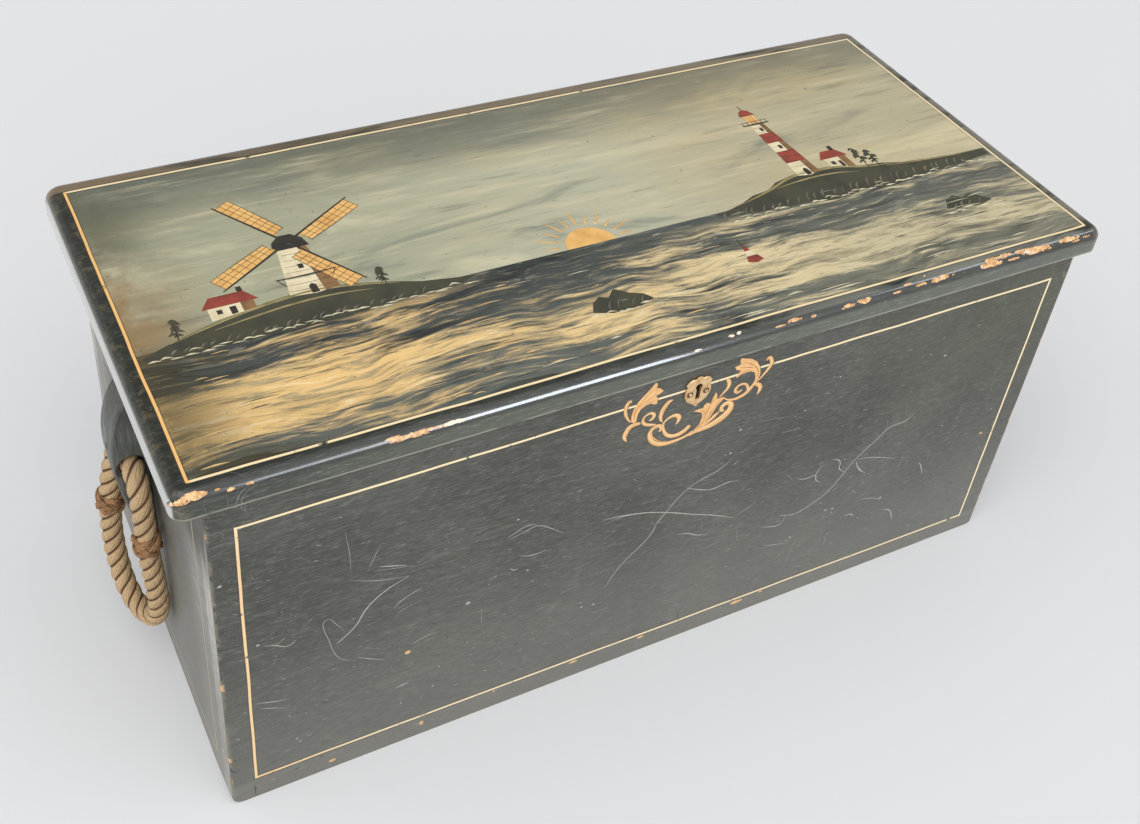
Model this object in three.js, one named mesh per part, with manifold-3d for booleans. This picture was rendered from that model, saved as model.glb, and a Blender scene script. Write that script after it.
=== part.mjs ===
// A painted pine sea chest: a dovetailed carcass of six boards, a one-board lid on two
// iron strap hinges, a chest lock with a brass escutcheon, an open till, and on each end
// a carved oak cleat that carries a swinging rope becket with two woven ring knots.
// Millimetres, +Z up, front towards -Y, the base on Z = 0.

import * as THREE from 'three';
import { mergeVertices } from 'three/addons/utils/BufferGeometryUtils.js';
import Module from 'manifold-3d';

const wasm = await Module();
wasm.setup();
const { Manifold, Mesh: SolidMesh } = wasm;

// Clearances and the overrun of every cut
const fit_gap = 0.3;
const cut_overrun = 4;

// Carcass
const body_length = 930;
const body_depth = 446;
const body_height = 419;
const wall_thickness = 22;
const end_thickness = 23;
const bottom_thickness = 18;
const corner_radius = 3;

// Dovetails: tails on the front and back boards, pins on the end boards
const tail_count = 5;
const pin_face_width = 22;
const tail_slope_ratio = 1 / 6;

// Lid
const lid_thickness = 27;
const lid_side_overhang = 25;
const lid_front_overhang = 6;
const lid_edge_radius = 12.5;
const lid_front_corner_radius = 13.5;
const lid_back_corner_radius = 17;

// Battens under the lid
const batten_width = 32;
const batten_height = 20;
const batten_end_bevel = 12;
const batten_wall_gap = 6;

// Open till at the left end
const till_width = 128;
const till_depth = 104;
const till_board_thickness = 11;
const till_groove_depth = 5;
const till_rim_drop = 7;

// Strap hinges
const hinge_spacing = 540;
const hinge_width = 36;
const strap_thickness = 3;
const strap_neck_width = 13;
const strap_tip_radius = 12;
const lid_strap_length = 170;
const back_strap_length = 130;
const knuckle_radius = 6;
const hinge_pin_radius = 2.5;
const hinge_pin_head_radius = 3.8;
const hinge_pin_head_height = 1.6;

// Chest lock on the inside of the front board
const lock_length = 86;
const lock_depth = 20;
const lock_height = 53;
const lock_rim_drop = 1;
const bolt_length = 32;
const bolt_height = 11;
const bolt_thickness = 5;
const bolt_throw = 12;
const bolt_top_drop = 7.5;
const staple_plate_length = 70;
const staple_plate_width = 18;
const staple_plate_thickness = 2.5;
const staple_wire = 3;
const staple_eye_gap = 0.7;
const staple_slot_gap = 1.5;

// Keyhole and its brass shield
const keyhole_drop = 28;
const keyhole_radius = 3.7;
const keyhole_slot_width = 4.6;
const keyhole_slot_drop = 15.5;
const keyhole_wood_margin = 1.6;
const keyhole_pocket_depth = 12;
const shield_width = 30;
const shield_height = 38.5;
const shield_thickness = 2.5;
const shield_bevel = 0.6;
const shield_centre_drop = 7;
const shield_screw_spacing = 17.5;
const shield_screw_drop = 7.5;
const shield_screw_radius = 1.3;
const shield_screw_head_radius = 2.5;
const shield_screw_head_height = 1.2;
const shield_screw_slot_width = 0.7;
const shield_screw_slot_depth = 0.5;

// Cleats
const cleat_top_drop = 48;
const cleat_height = 192;
const cleat_projection = 33;
const cleat_crest_drop = 77;
const cleat_width = 40;
const cleat_tip_thickness = 5;
const cleat_bevel = 1.5;
const cleat_pit_width = 4;
const cleat_pit_height = 9;
const cleat_pit_depth = 5;
const cleat_pit_rise = 17;
const cleat_nail_spacing = 130;
const cleat_nail_rise = 0.5;
const cleat_nail_radius = 2;
const cleat_nail_bite = 13;
const cleat_nail_point = 5;
const cleat_nail_head_radius = 4.5;
const cleat_nail_head_height = 2;

// Rope beckets and their woven ring knots
const rope_radius = 11;
const rope_hole_gap = 0.8;
const rope_hole_easing = 4;
const rope_hole_stand_off = 15.5;
const rope_hole_drop = 139;
const rope_half_sides = 6;
const rope_steps = 40;
const knot_length = 24;
const knot_wall = 3.6;
const knot_bead = 0.9;
const knot_bead_count = 3;

// Facets of the round pieces
const fine_facets = 24;
const small_facets = 12;

const keyhole_height = body_height - keyhole_drop;
const rope_hole_height = body_height - rope_hole_drop;
const half_length = body_length / 2;
const half_depth = body_depth / 2;
const inner_half_length = half_length - end_thickness;
const inner_half_depth = half_depth - wall_thickness;

const painted_wood = { color: 0x3a4240, roughness: 0.55, metalness: 0 };
const painted_lid = { color: 0x7f7c5f, roughness: 0.5, metalness: 0 };
const bare_wood = { color: 0xa98355, roughness: 0.75, metalness: 0 };
const cleat_wood = { color: 0x4a4c48, roughness: 0.6, metalness: 0 };
const iron = { color: 0x3b3936, roughness: 0.5, metalness: 0.9 };
const brass = { color: 0xb59a55, roughness: 0.4, metalness: 0.9 };
const hemp = { color: 0xc3a273, roughness: 0.9, metalness: 0 };
const knot_twine = { color: 0xa27b52, roughness: 0.9, metalness: 0 };

const unit_x = new THREE.Vector3(1, 0, 0);
const unit_y = new THREE.Vector3(0, 1, 0);
const unit_z = new THREE.Vector3(0, 0, 1);
const quarter_turn = Math.PI / 2;

// Solids from three.js geometries, and back again
function solidOf(geometry) {
  const bare = geometry.clone();
  bare.deleteAttribute('normal');
  bare.deleteAttribute('uv');
  const merged = mergeVertices(bare);
  return new Manifold(new SolidMesh({
    numProp: 3,
    vertProperties: new Float32Array(merged.attributes.position.array),
    triVerts: new Uint32Array(merged.index.array),
  }));
}

function geometryOf(body) {
  const mesh = body.getMesh();
  const shared = new THREE.BufferGeometry();
  shared.setAttribute('position', new THREE.BufferAttribute(mesh.vertProperties, 3));
  shared.setIndex(new THREE.BufferAttribute(mesh.triVerts, 1));
  const faceted = shared.toNonIndexed();
  faceted.computeVertexNormals();
  return faceted;
}

function piece(name, body, finish) {
  const geometry = body.isBufferGeometry ? body : geometryOf(body);
  const mesh = new THREE.Mesh(geometry, new THREE.MeshStandardMaterial(finish));
  mesh.name = name;
  return mesh;
}

function block([low_x, high_x], [low_y, high_y], [low_z, high_z]) {
  const box = new THREE.BoxGeometry(high_x - low_x, high_y - low_y, high_z - low_z);
  box.translate((low_x + high_x) / 2, (low_y + high_y) / 2, (low_z + high_z) / 2);
  return solidOf(box);
}

function outlineOf(points) {
  return new THREE.Shape(points.map(([across, up]) => new THREE.Vector2(across, up)));
}

// An outline drawn in X and Z, given its thickness from low_y to high_y
function slabAlongY(outline, low_y, high_y, options = {}) {
  const bevel = options.bevel ?? 0;
  const slab = new THREE.ExtrudeGeometry(outline, {
    depth: high_y - low_y - 2 * bevel,
    bevelEnabled: bevel > 0,
    bevelThickness: bevel,
    bevelSize: bevel,
    bevelOffset: -bevel,
    bevelSegments: 1,
    curveSegments: options.curve_segments ?? small_facets,
  });
  slab.rotateX(quarter_turn);
  return solidOf(slab.translate(0, high_y - bevel, 0));
}

// An outline drawn in Y and Z, given its thickness from low_x to high_x
function slabAlongX(outline, low_x, high_x) {
  const slab = new THREE.ExtrudeGeometry(outline, { depth: high_x - low_x, bevelEnabled: false });
  slab.applyMatrix4(new THREE.Matrix4().makeBasis(unit_y, unit_z, unit_x));
  return solidOf(slab.translate(low_x, 0, 0));
}

// A round bar or hole along X or Y, centred at the given point
function roundAlongX(radius, low_x, high_x, y, z, facets = fine_facets) {
  const bar = new THREE.CylinderGeometry(radius, radius, high_x - low_x, facets);
  bar.rotateZ(quarter_turn);
  return solidOf(bar.translate((low_x + high_x) / 2, y, z));
}

function taperAlongY(low_radius, high_radius, low_y, high_y, x, z) {
  const bar = new THREE.CylinderGeometry(high_radius, low_radius, high_y - low_y, fine_facets);
  return solidOf(bar.translate(x, (low_y + high_y) / 2, z));
}

// A turned piece: the profile gives [radius, distance along the axis]
function turned(profile, facets) {
  const points = profile.map(([radius, along]) => new THREE.Vector2(radius, along));
  return new THREE.LatheGeometry(points, facets);
}

// Dovetails. A tail starts at the shoulder, the inner face of the end board, and widens
// to the end of the board. grow widens it by a clearance and run carries both ends on.
const tail_pitch = body_height / tail_count;

function tail(side, index, wall, { grow = 0, run = 0 }) {
  const middle = (index + 0.5) * tail_pitch;
  const end_half = (tail_pitch - pin_face_width) / 2 + grow;
  const shoulder_half = end_half - end_thickness * tail_slope_ratio;
  const run_rise = run * tail_slope_ratio;
  const shoulder_x = side * (inner_half_length - cut_overrun);
  const shoulder_rise = cut_overrun * tail_slope_ratio;
  const end_x = side * (half_length + run);
  const [low_y, high_y] = wall;
  return slabAlongY(outlineOf([
    [shoulder_x, middle - shoulder_half + shoulder_rise],
    [end_x, middle - end_half - run_rise],
    [end_x, middle + end_half + run_rise],
    [shoulder_x, middle + shoulder_half - shoulder_rise],
  ]), low_y, high_y);
}

function tails(sides, wall, fit) {
  const cheeks = [];
  for (const side of sides) {
    for (let index = 0; index < tail_count; index += 1) {
      cheeks.push(tail(side, index, wall, fit));
    }
  }
  return cheeks;
}

const front_wall = [-half_depth, -inner_half_depth];
const back_wall = [inner_half_depth, half_depth];

// The four outer corners of the carcass are rounded by wear, all boards alike
function roundedPlan(length, depth, radii) {
  const [front, back] = radii;
  const right = length / 2;
  const rear = depth / 2;
  const plan = new THREE.Shape();
  plan.absarc(right - front, -rear + front, front, -quarter_turn, 0, false);
  plan.absarc(right - back, rear - back, back, 0, quarter_turn, false);
  plan.absarc(-right + back, rear - back, back, quarter_turn, 2 * quarter_turn, false);
  plan.absarc(-right + front, -rear + front, front, 2 * quarter_turn, 3 * quarter_turn, false);
  return plan;
}

function carcassEnvelope() {
  const plan = roundedPlan(body_length, body_depth, [corner_radius, corner_radius]);
  return solidOf(new THREE.ExtrudeGeometry(plan, {
    depth: body_height,
    bevelEnabled: false,
    curveSegments: 4,
  }));
}

const envelope = carcassEnvelope();

// Till: a board across the chest and a bottom, housed in the walls
const till_right = -inner_half_length + till_width;
const till_top = body_height - till_rim_drop;
const till_floor_top = till_top - till_depth;
const till_floor_low = till_floor_top - till_board_thickness;
const till_reach = inner_half_depth + till_groove_depth;

function tillFrontBlock() {
  return block(
    [till_right, till_right + till_board_thickness],
    [-till_reach, till_reach],
    [till_floor_low, till_top],
  );
}

function tillBottomBlock() {
  return block([-inner_half_length, till_right], [-till_reach, till_reach], [till_floor_low, till_floor_top]);
}

// Keyhole: a round with a slot below it, drawn in X and Z
function keyholeOutline(margin) {
  const radius = keyhole_radius + margin;
  const slot_half = keyhole_slot_width / 2 + margin;
  const slot_low = keyhole_height - keyhole_slot_drop - margin;
  const start = Math.asin(slot_half / radius) - quarter_turn;
  const outline = new THREE.Shape();
  outline.moveTo(-slot_half, slot_low);
  outline.lineTo(slot_half, slot_low);
  outline.absarc(0, keyhole_height, radius, start, 2 * quarter_turn - start, false);
  return outline;
}

function keyholeCut(margin, low_y, high_y) {
  return slabAlongY(keyholeOutline(margin), low_y, high_y);
}

function frontBoard() {
  const core = block([-inner_half_length, inner_half_length], front_wall, [0, body_height]);
  const board = tails([-1, 1], front_wall, {}).reduce((sum, part) => sum.add(part), core);
  return board
    .intersect(envelope)
    .subtract(keyholeCut(keyhole_wood_margin, -half_depth - cut_overrun, -inner_half_depth + cut_overrun))
    .subtract(tillFrontBlock())
    .subtract(tillBottomBlock());
}

function backBoard() {
  const core = block([-inner_half_length, inner_half_length], back_wall, [0, body_height]);
  const board = tails([-1, 1], back_wall, {}).reduce((sum, part) => sum.add(part), core);
  return board
    .intersect(envelope)
    .subtract(tillFrontBlock())
    .subtract(tillBottomBlock());
}

// Cleat nails are driven from inside, through the end board
const cleat_top = body_height - cleat_top_drop;
const cleat_low = cleat_top - cleat_height;
const cleat_crest = cleat_top - cleat_crest_drop;
const nail_heights = [
  rope_hole_height - cleat_nail_spacing / 2 + cleat_nail_rise,
  rope_hole_height + cleat_nail_spacing / 2 + cleat_nail_rise,
];

function nailHole(side, height) {
  const ends = [
    side * (inner_half_length - cut_overrun),
    side * (half_length + cleat_nail_bite + cleat_nail_point + fit_gap),
  ];
  return roundAlongX(
    cleat_nail_radius + fit_gap, Math.min(...ends), Math.max(...ends), 0, height, small_facets,
  );
}

function endBoard(side) {
  const reach = [side * inner_half_length, side * half_length];
  const board = block(
    [Math.min(...reach), Math.max(...reach)],
    [-half_depth, half_depth],
    [0, body_height],
  ).intersect(envelope);
  const fit = { grow: fit_gap, run: cut_overrun };
  const cuts = [
    ...tails([side], [-half_depth - cut_overrun, -inner_half_depth], fit),
    ...tails([side], [inner_half_depth, half_depth + cut_overrun], fit),
    ...nail_heights.map((height) => nailHole(side, height)),
  ];
  return cuts.reduce((rest, cut) => rest.subtract(cut), board);
}

function bottomBoard(reach_y) {
  return block([-inner_half_length, inner_half_length], reach_y, [0, bottom_thickness]);
}

// Hinges: a strap let into the underside of the lid and one on the outside of the back,
// with a knuckle of the lid strap between two knuckles of the back strap
const hinge_axis_y = half_depth + knuckle_radius + fit_gap;
const hinge_axis_z = body_height;
const knuckle_half = hinge_width / 6;

// Strap outline: the knuckle end lies on the base line, the tip ends in a round
function strapOutline(length, grow) {
  const neck_half = strap_neck_width / 2 + grow;
  const tip_radius = strap_tip_radius + grow;
  const tip_centre = length - strap_tip_radius;
  const start = Math.asin(neck_half / tip_radius) - quarter_turn;
  const outline = new THREE.Shape();
  outline.moveTo(-hinge_width / 2 - grow, 0);
  outline.lineTo(hinge_width / 2 + grow, 0);
  outline.absarc(0, tip_centre, tip_radius, start, 2 * quarter_turn - start, false);
  return outline;
}

function strap(length, grow) {
  return new THREE.ExtrudeGeometry(strapOutline(length, grow), {
    depth: strap_thickness,
    bevelEnabled: false,
    curveSegments: small_facets,
  });
}

// The lid strap lies in the lid's underside and points to the front
function lidStrapPlate(x, grow) {
  const plate = strap(lid_strap_length, grow);
  plate.rotateZ(2 * quarter_turn);
  return solidOf(plate.translate(x, half_depth, body_height));
}

function lidStrap(x) {
  const middle = [x - knuckle_half + fit_gap, x + knuckle_half - fit_gap];
  const tongue = block(
    middle, [half_depth - cut_overrun, hinge_axis_y], [hinge_axis_z, hinge_axis_z + strap_thickness],
  );
  const knuckle = roundAlongX(knuckle_radius, ...middle, hinge_axis_y, hinge_axis_z);
  const bore = roundAlongX(
    hinge_pin_radius + fit_gap, x - hinge_width, x + hinge_width, hinge_axis_y, hinge_axis_z,
  );
  return lidStrapPlate(x, 0).add(tongue).add(knuckle).subtract(bore);
}

function backStrap(x) {
  const plate = strap(back_strap_length, 0);
  plate.rotateX(-quarter_turn);
  plate.translate(x, half_depth, body_height);
  const outer = [[x - 3 * knuckle_half, x - knuckle_half], [x + knuckle_half, x + 3 * knuckle_half]];
  const knuckles = outer.map((reach) => roundAlongX(knuckle_radius, ...reach, hinge_axis_y, hinge_axis_z));
  const relief = block(
    [x - knuckle_half, x + knuckle_half],
    [half_depth - cut_overrun, half_depth + strap_thickness + cut_overrun],
    [hinge_axis_z - knuckle_radius - fit_gap, hinge_axis_z + cut_overrun],
  );
  const bore = roundAlongX(
    hinge_pin_radius + fit_gap, x - hinge_width, x + hinge_width, hinge_axis_y, hinge_axis_z,
  );
  return knuckles
    .reduce((sum, part) => sum.add(part), solidOf(plate).subtract(relief))
    .subtract(bore);
}

function hingePin(x) {
  const half = hinge_width / 2;
  const head = half + hinge_pin_head_height;
  const pin = turned([
    [0, -head],
    [hinge_pin_radius, -head],
    [hinge_pin_head_radius, -half],
    [hinge_pin_radius, -half],
    [hinge_pin_radius, half],
    [hinge_pin_head_radius, half],
    [hinge_pin_radius, head],
    [0, head],
  ], small_facets);
  pin.rotateZ(-quarter_turn);
  return pin.translate(x, hinge_axis_y, hinge_axis_z);
}

// Lock: a case with a channel for the bolt, a slot for the staple and a keyhole
const lock_front = -inner_half_depth;
const lock_back = lock_front + lock_depth;
const lock_middle = lock_front + lock_depth / 2;
const lock_top = body_height - lock_rim_drop;
const lock_low = lock_top - lock_height;
const bolt_high = body_height - bolt_top_drop;
const bolt_low = bolt_high - bolt_height;
const staple_half = bolt_thickness / 2 + staple_eye_gap + staple_wire;
const staple_low = bolt_low - staple_eye_gap - staple_wire;
const bolt_tip = -staple_wire / 2 - staple_slot_gap;

function lockCase() {
  const half = lock_length / 2;
  const channel = block(
    [-half - cut_overrun, bolt_tip + bolt_throw + staple_slot_gap],
    [lock_middle - bolt_thickness / 2 - fit_gap, lock_middle + bolt_thickness / 2 + fit_gap],
    [bolt_low - fit_gap, bolt_high + fit_gap],
  );
  const slot = block(
    [-staple_wire / 2 - staple_slot_gap, staple_wire / 2 + staple_slot_gap],
    [lock_middle - staple_half - staple_slot_gap, lock_middle + staple_half + staple_slot_gap],
    [staple_low - staple_slot_gap, lock_top + cut_overrun],
  );
  return block([-half, half], [lock_front, lock_back], [lock_low, lock_top])
    .subtract(channel)
    .subtract(slot)
    .subtract(keyholeCut(0, lock_front - cut_overrun, lock_front + keyhole_pocket_depth));
}

function lockBolt() {
  return block(
    [bolt_tip - bolt_length, bolt_tip],
    [lock_middle - bolt_thickness / 2, lock_middle + bolt_thickness / 2],
    [bolt_low, bolt_high],
  );
}

function staplePlate() {
  const half = staple_plate_length / 2;
  const half_width = staple_plate_width / 2;
  return block(
    [-half, half],
    [lock_middle - half_width, lock_middle + half_width],
    [body_height, body_height + staple_plate_thickness],
  );
}

function lockStaple() {
  const across = [-staple_wire / 2, staple_wire / 2];
  const loop = block(across, [lock_middle - staple_half, lock_middle + staple_half], [staple_low, body_height]);
  const eye = block(
    [-staple_wire, staple_wire],
    [lock_middle - staple_half + staple_wire, lock_middle + staple_half - staple_wire],
    [staple_low + staple_wire, body_height],
  );
  return staplePlate().add(loop.subtract(eye));
}

// Lid: one board, its upper edge rounded on all four sides, with the straps and the
// staple plate let in flush below
const lid_length = body_length + 2 * lid_side_overhang;
const lid_depth = body_depth + lid_front_overhang;

function lidBoard() {
  const board = new THREE.ExtrudeGeometry(
    roundedPlan(lid_length, lid_depth, [lid_front_corner_radius, lid_back_corner_radius]),
    {
      depth: lid_thickness,
      bevelThickness: lid_edge_radius,
      bevelSize: lid_edge_radius,
      bevelOffset: -lid_edge_radius,
      bevelSegments: 6,
      curveSegments: 8,
    },
  );
  const below = block(
    [-lid_length, lid_length], [-lid_depth, lid_depth], [-lid_thickness - body_height, body_height],
  );
  board.translate(0, -lid_front_overhang / 2, body_height - lid_edge_radius);
  return solidOf(board)
    .subtract(below)
    .subtract(lidStrapPlate(-hinge_spacing / 2, fit_gap))
    .subtract(lidStrapPlate(hinge_spacing / 2, fit_gap))
    .subtract(staplePlate());
}

function lidBatten(side) {
  const front = -inner_half_depth + batten_wall_gap;
  const back = inner_half_depth - batten_wall_gap;
  const low = body_height - batten_height;
  const outer = inner_half_length - batten_wall_gap;
  const reach = [side * outer, side * (outer - batten_width)];
  return slabAlongX(outlineOf([
    [front, body_height],
    [front, low + batten_end_bevel],
    [front + batten_end_bevel, low],
    [back - batten_end_bevel, low],
    [back, low + batten_end_bevel],
    [back, body_height],
  ]), Math.min(...reach), Math.max(...reach));
}

// Escutcheon: a shield with a scalloped top, pointed ears and a point below. The shares
// are of its half width and half height, from the middle top down the right-hand side.
const shield_centre = keyhole_height - shield_centre_drop;
const shield_shares = [
  [0, 1], [0.17, 0.95], [0.3, 0.86], [0.48, 0.9], [0.7, 0.84], [0.94, 0.62],
  [0.83, 0.42], [0.93, 0.2], [0.97, -0.02], [0.9, -0.26], [0.72, -0.5],
  [0.46, -0.68], [0.22, -0.78], [0.09, -0.92],
];

function escutcheon() {
  const right = shield_shares.map(([across, up]) => [
    across * shield_width / 2,
    shield_centre + up * shield_height / 2,
  ]);
  const left = right.slice(1).reverse().map(([across, up]) => [-across, up]);
  const outline = outlineOf([...right, ...left].reverse());
  const front = -half_depth - shield_thickness;
  const plate = slabAlongY(outline, front, -half_depth, { bevel: shield_bevel });
  const height = keyhole_height - shield_screw_drop;
  const holes = [-1, 1].map((side) => taperAlongY(
    shield_screw_radius + fit_gap, shield_screw_radius + fit_gap,
    front - cut_overrun, -half_depth + cut_overrun, side * shield_screw_spacing / 2, height,
  ));
  return plate
    .subtract(keyholeCut(0, front - cut_overrun, -half_depth + cut_overrun))
    .subtract(holes[0])
    .subtract(holes[1]);
}

function escutcheonScrew(side) {
  const front = -half_depth - shield_thickness;
  const dome = [1, 0.85, 0.5].map((share) => [
    shield_screw_head_radius * share,
    shield_screw_head_height * Math.sqrt(1 - share * share),
  ]);
  const screw = turned([
    [0, -shield_thickness],
    [shield_screw_radius, -shield_thickness],
    [shield_screw_radius, 0],
    ...dome,
    [0, shield_screw_head_height],
  ], fine_facets);
  const slot = new THREE.BoxGeometry(
    2 * shield_screw_head_radius, 2 * shield_screw_slot_depth, shield_screw_slot_width,
  );
  slot.translate(0, shield_screw_head_height, 0);
  const body = geometryOf(solidOf(screw).subtract(solidOf(slot)));
  body.rotateX(2 * quarter_turn);
  return body.translate(side * shield_screw_spacing / 2, front, keyhole_height - shield_screw_drop);
}

// Cleat: a bow-shaped block on the end board, seen in X and Z, with the rope hole along Y
function cleatOutline(side) {
  const foot = side * half_length;
  const tip = side * (half_length + cleat_tip_thickness);
  const crest = side * (half_length + cleat_projection);
  const rise = cleat_top - cleat_crest;
  const fall = cleat_crest - cleat_low;
  const shoulder = side * (half_length + cleat_projection * 0.7);
  const outline = new THREE.Shape();
  outline.moveTo(foot, cleat_low);
  outline.lineTo(tip, cleat_low);
  outline.bezierCurveTo(
    shoulder, cleat_low + fall * 0.26, crest, cleat_crest - fall * 0.35, crest, cleat_crest,
  );
  outline.bezierCurveTo(
    crest, cleat_crest + rise * 0.43, shoulder, cleat_top - rise * 0.18, tip, cleat_top,
  );
  outline.lineTo(foot, cleat_top);
  return outline;
}

const rope_hole_radius = rope_radius + rope_hole_gap;

function ropeHole(side) {
  const x = side * (half_length + rope_hole_stand_off);
  const half = cleat_width / 2;
  const eased = rope_hole_radius + rope_hole_easing;
  const mouth = half - rope_hole_easing;
  const overrun_radius = eased + cut_overrun;
  return taperAlongY(rope_hole_radius, rope_hole_radius, -half, half, x, rope_hole_height)
    .add(taperAlongY(overrun_radius, rope_hole_radius, -half - cut_overrun, -mouth, x, rope_hole_height))
    .add(taperAlongY(rope_hole_radius, overrun_radius, mouth, half + cut_overrun, x, rope_hole_height));
}

// A worn pit where the outer face of the cleat was once pegged
function cleatPit(side) {
  const pit = new THREE.CylinderGeometry(1, 1, 2 * cleat_pit_depth, small_facets);
  pit.rotateZ(quarter_turn);
  pit.scale(1, cleat_pit_width / 2, cleat_pit_height / 2);
  return solidOf(pit.translate(
    side * (half_length + cleat_projection), 0, rope_hole_height + cleat_pit_rise,
  ));
}

function cleat(side) {
  const half = cleat_width / 2;
  const bow = slabAlongY(cleatOutline(side), -half, half, { bevel: cleat_bevel });
  return bow
    .subtract(ropeHole(side))
    .subtract(cleatPit(side))
    .subtract(nailHole(side, nail_heights[0]))
    .subtract(nailHole(side, nail_heights[1]));
}

function cleatNail(side, height) {
  const nail = turned([
    [0, -cleat_nail_head_height],
    [cleat_nail_head_radius * 0.6, -cleat_nail_head_height],
    [cleat_nail_head_radius, -cleat_nail_head_height / 2],
    [cleat_nail_head_radius, 0],
    [cleat_nail_radius, 0],
    [cleat_nail_radius, end_thickness + cleat_nail_bite],
    [0, end_thickness + cleat_nail_bite + cleat_nail_point],
  ], small_facets);
  nail.rotateZ(-side * quarter_turn);
  return nail.translate(side * inner_half_length, 0, height);
}

// Becket rope: it runs through the cleat and hangs as a loop, its two ends meeting in the
// hole. Its route is [out from the end board, along Y, up from the hole].
const becket_route = [
  [15.5, -0.6, 0], [15.5, -9, 0], [15.5, -17, 0], [15.5, -24.5, -1.6], [15.5, -31, -6],
  [15.5, -36, -13], [15.5, -39, -22], [15.6, -41, -33], [15.8, -42.5, -46], [16, -44, -62],
  [16, -44, -78], [16, -44, -94], [15, -45, -114], [14, -45, -135], [13.2, -44.5, -156],
  [13, -43, -175], [14.5, -38.5, -192], [18.5, -30, -204], [23.5, -18, -209.5], [28.5, -5, -207],
  [32.5, 7, -197.5], [35, 16, -183], [36.3, 23, -164], [36.8, 27.5, -143], [36.2, 30, -123],
  [34.5, 31, -102], [33, 31, -86], [31.5, 31, -70], [28.6, 31.5, -55], [24.5, 33, -40],
  [20.5, 33.8, -27], [17.4, 32.2, -15], [15.8, 27.5, -5.2], [15.5, 20.5, -0.4], [15.5, 13, 0],
  [15.5, 6, 0], [15.5, 0.6, 0],
];
const front_knot_index = 10;
const back_knot_index = 26;

function routePoint(side, [out, along, up]) {
  return new THREE.Vector3(side * (half_length + out), along, rope_hole_height + up);
}

function becketRope(side) {
  const route = new THREE.CatmullRomCurve3(becket_route.map((point) => routePoint(side, point)));
  const section = new THREE.Shape();
  section.absarc(0, 0, rope_radius, 0, 4 * quarter_turn, false);
  return solidOf(new THREE.ExtrudeGeometry(section, {
    steps: rope_steps,
    extrudePath: route,
    curveSegments: rope_half_sides,
  }));
}

// Knot: a barrel-shaped ring of beads round the rope, as three rows of strands
function becketKnot(side, index) {
  const bore = rope_radius + rope_hole_gap;
  const half = knot_length / 2;
  const points = 4 * knot_bead_count;
  const profile = [[bore, -half]];
  for (let step = 0; step <= points; step += 1) {
    const share = step / points;
    const belly = knot_wall * Math.sqrt(Math.sin(Math.PI * (0.12 + 0.76 * share)));
    const bead = knot_bead * Math.abs(Math.sin(Math.PI * knot_bead_count * share));
    profile.push([bore + belly + bead - knot_bead, knot_length * share - half]);
  }
  profile.push([bore, half], [bore, -half]);
  const ring = turned(profile, fine_facets);
  const [before, centre, after] = [-1, 0, 1].map((step) => routePoint(side, becket_route[index + step]));
  const along = after.sub(before).normalize();
  ring.applyQuaternion(new THREE.Quaternion().setFromUnitVectors(unit_y, along));
  return ring.translate(centre.x, centre.y, centre.z);
}

// Assembly. The chest is moved so that the middle of its plan lies on the origin.
const chest = new THREE.Group();
const hinge_reach = hinge_axis_y + knuckle_radius;
const lid_reach = half_depth + lid_front_overhang;
chest.position.y = (lid_reach - hinge_reach) / 2;

chest.add(piece('front_board', frontBoard(), painted_wood));
chest.add(piece('back_board', backBoard(), painted_wood));
chest.add(piece('left_end_board', endBoard(-1), painted_wood));
chest.add(piece('right_end_board', endBoard(1), painted_wood));
chest.add(piece('bottom_board_front', bottomBoard([-inner_half_depth, 0]), bare_wood));
chest.add(piece('bottom_board_back', bottomBoard([0, inner_half_depth]), bare_wood));
chest.add(piece('till_front', tillFrontBlock(), bare_wood));
chest.add(piece('till_bottom', tillBottomBlock(), bare_wood));
chest.add(piece('lid_board', lidBoard(), painted_lid));
chest.add(piece('lid_batten_left', lidBatten(-1), bare_wood));
chest.add(piece('lid_batten_right', lidBatten(1), bare_wood));
chest.add(piece('lock_case', lockCase(), iron));
chest.add(piece('lock_bolt', lockBolt(), iron));
chest.add(piece('lock_staple', lockStaple(), iron));
chest.add(piece('escutcheon', escutcheon(), brass));
chest.add(piece('escutcheon_screw_left', escutcheonScrew(-1), brass));
chest.add(piece('escutcheon_screw_right', escutcheonScrew(1), brass));

for (const [hand, side] of [['left', -1], ['right', 1]]) {
  const hinge_x = side * hinge_spacing / 2;
  chest.add(piece(`${hand}_hinge_lid_strap`, lidStrap(hinge_x), iron));
  chest.add(piece(`${hand}_hinge_back_strap`, backStrap(hinge_x), iron));
  chest.add(piece(`${hand}_hinge_pin`, hingePin(hinge_x), iron));
  chest.add(piece(`${hand}_cleat`, cleat(side), cleat_wood));
  chest.add(piece(`${hand}_cleat_nail_lower`, cleatNail(side, nail_heights[0]), iron));
  chest.add(piece(`${hand}_cleat_nail_upper`, cleatNail(side, nail_heights[1]), iron));
  chest.add(piece(`${hand}_becket_rope`, becketRope(side), hemp));
  chest.add(piece(`${hand}_becket_front_knot`, becketKnot(side, front_knot_index), knot_twine));
  chest.add(piece(`${hand}_becket_back_knot`, becketKnot(side, back_knot_index), knot_twine));
}

export default chest;
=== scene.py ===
import math
import random

import bmesh
import bpy
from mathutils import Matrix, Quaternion, Vector


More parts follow.
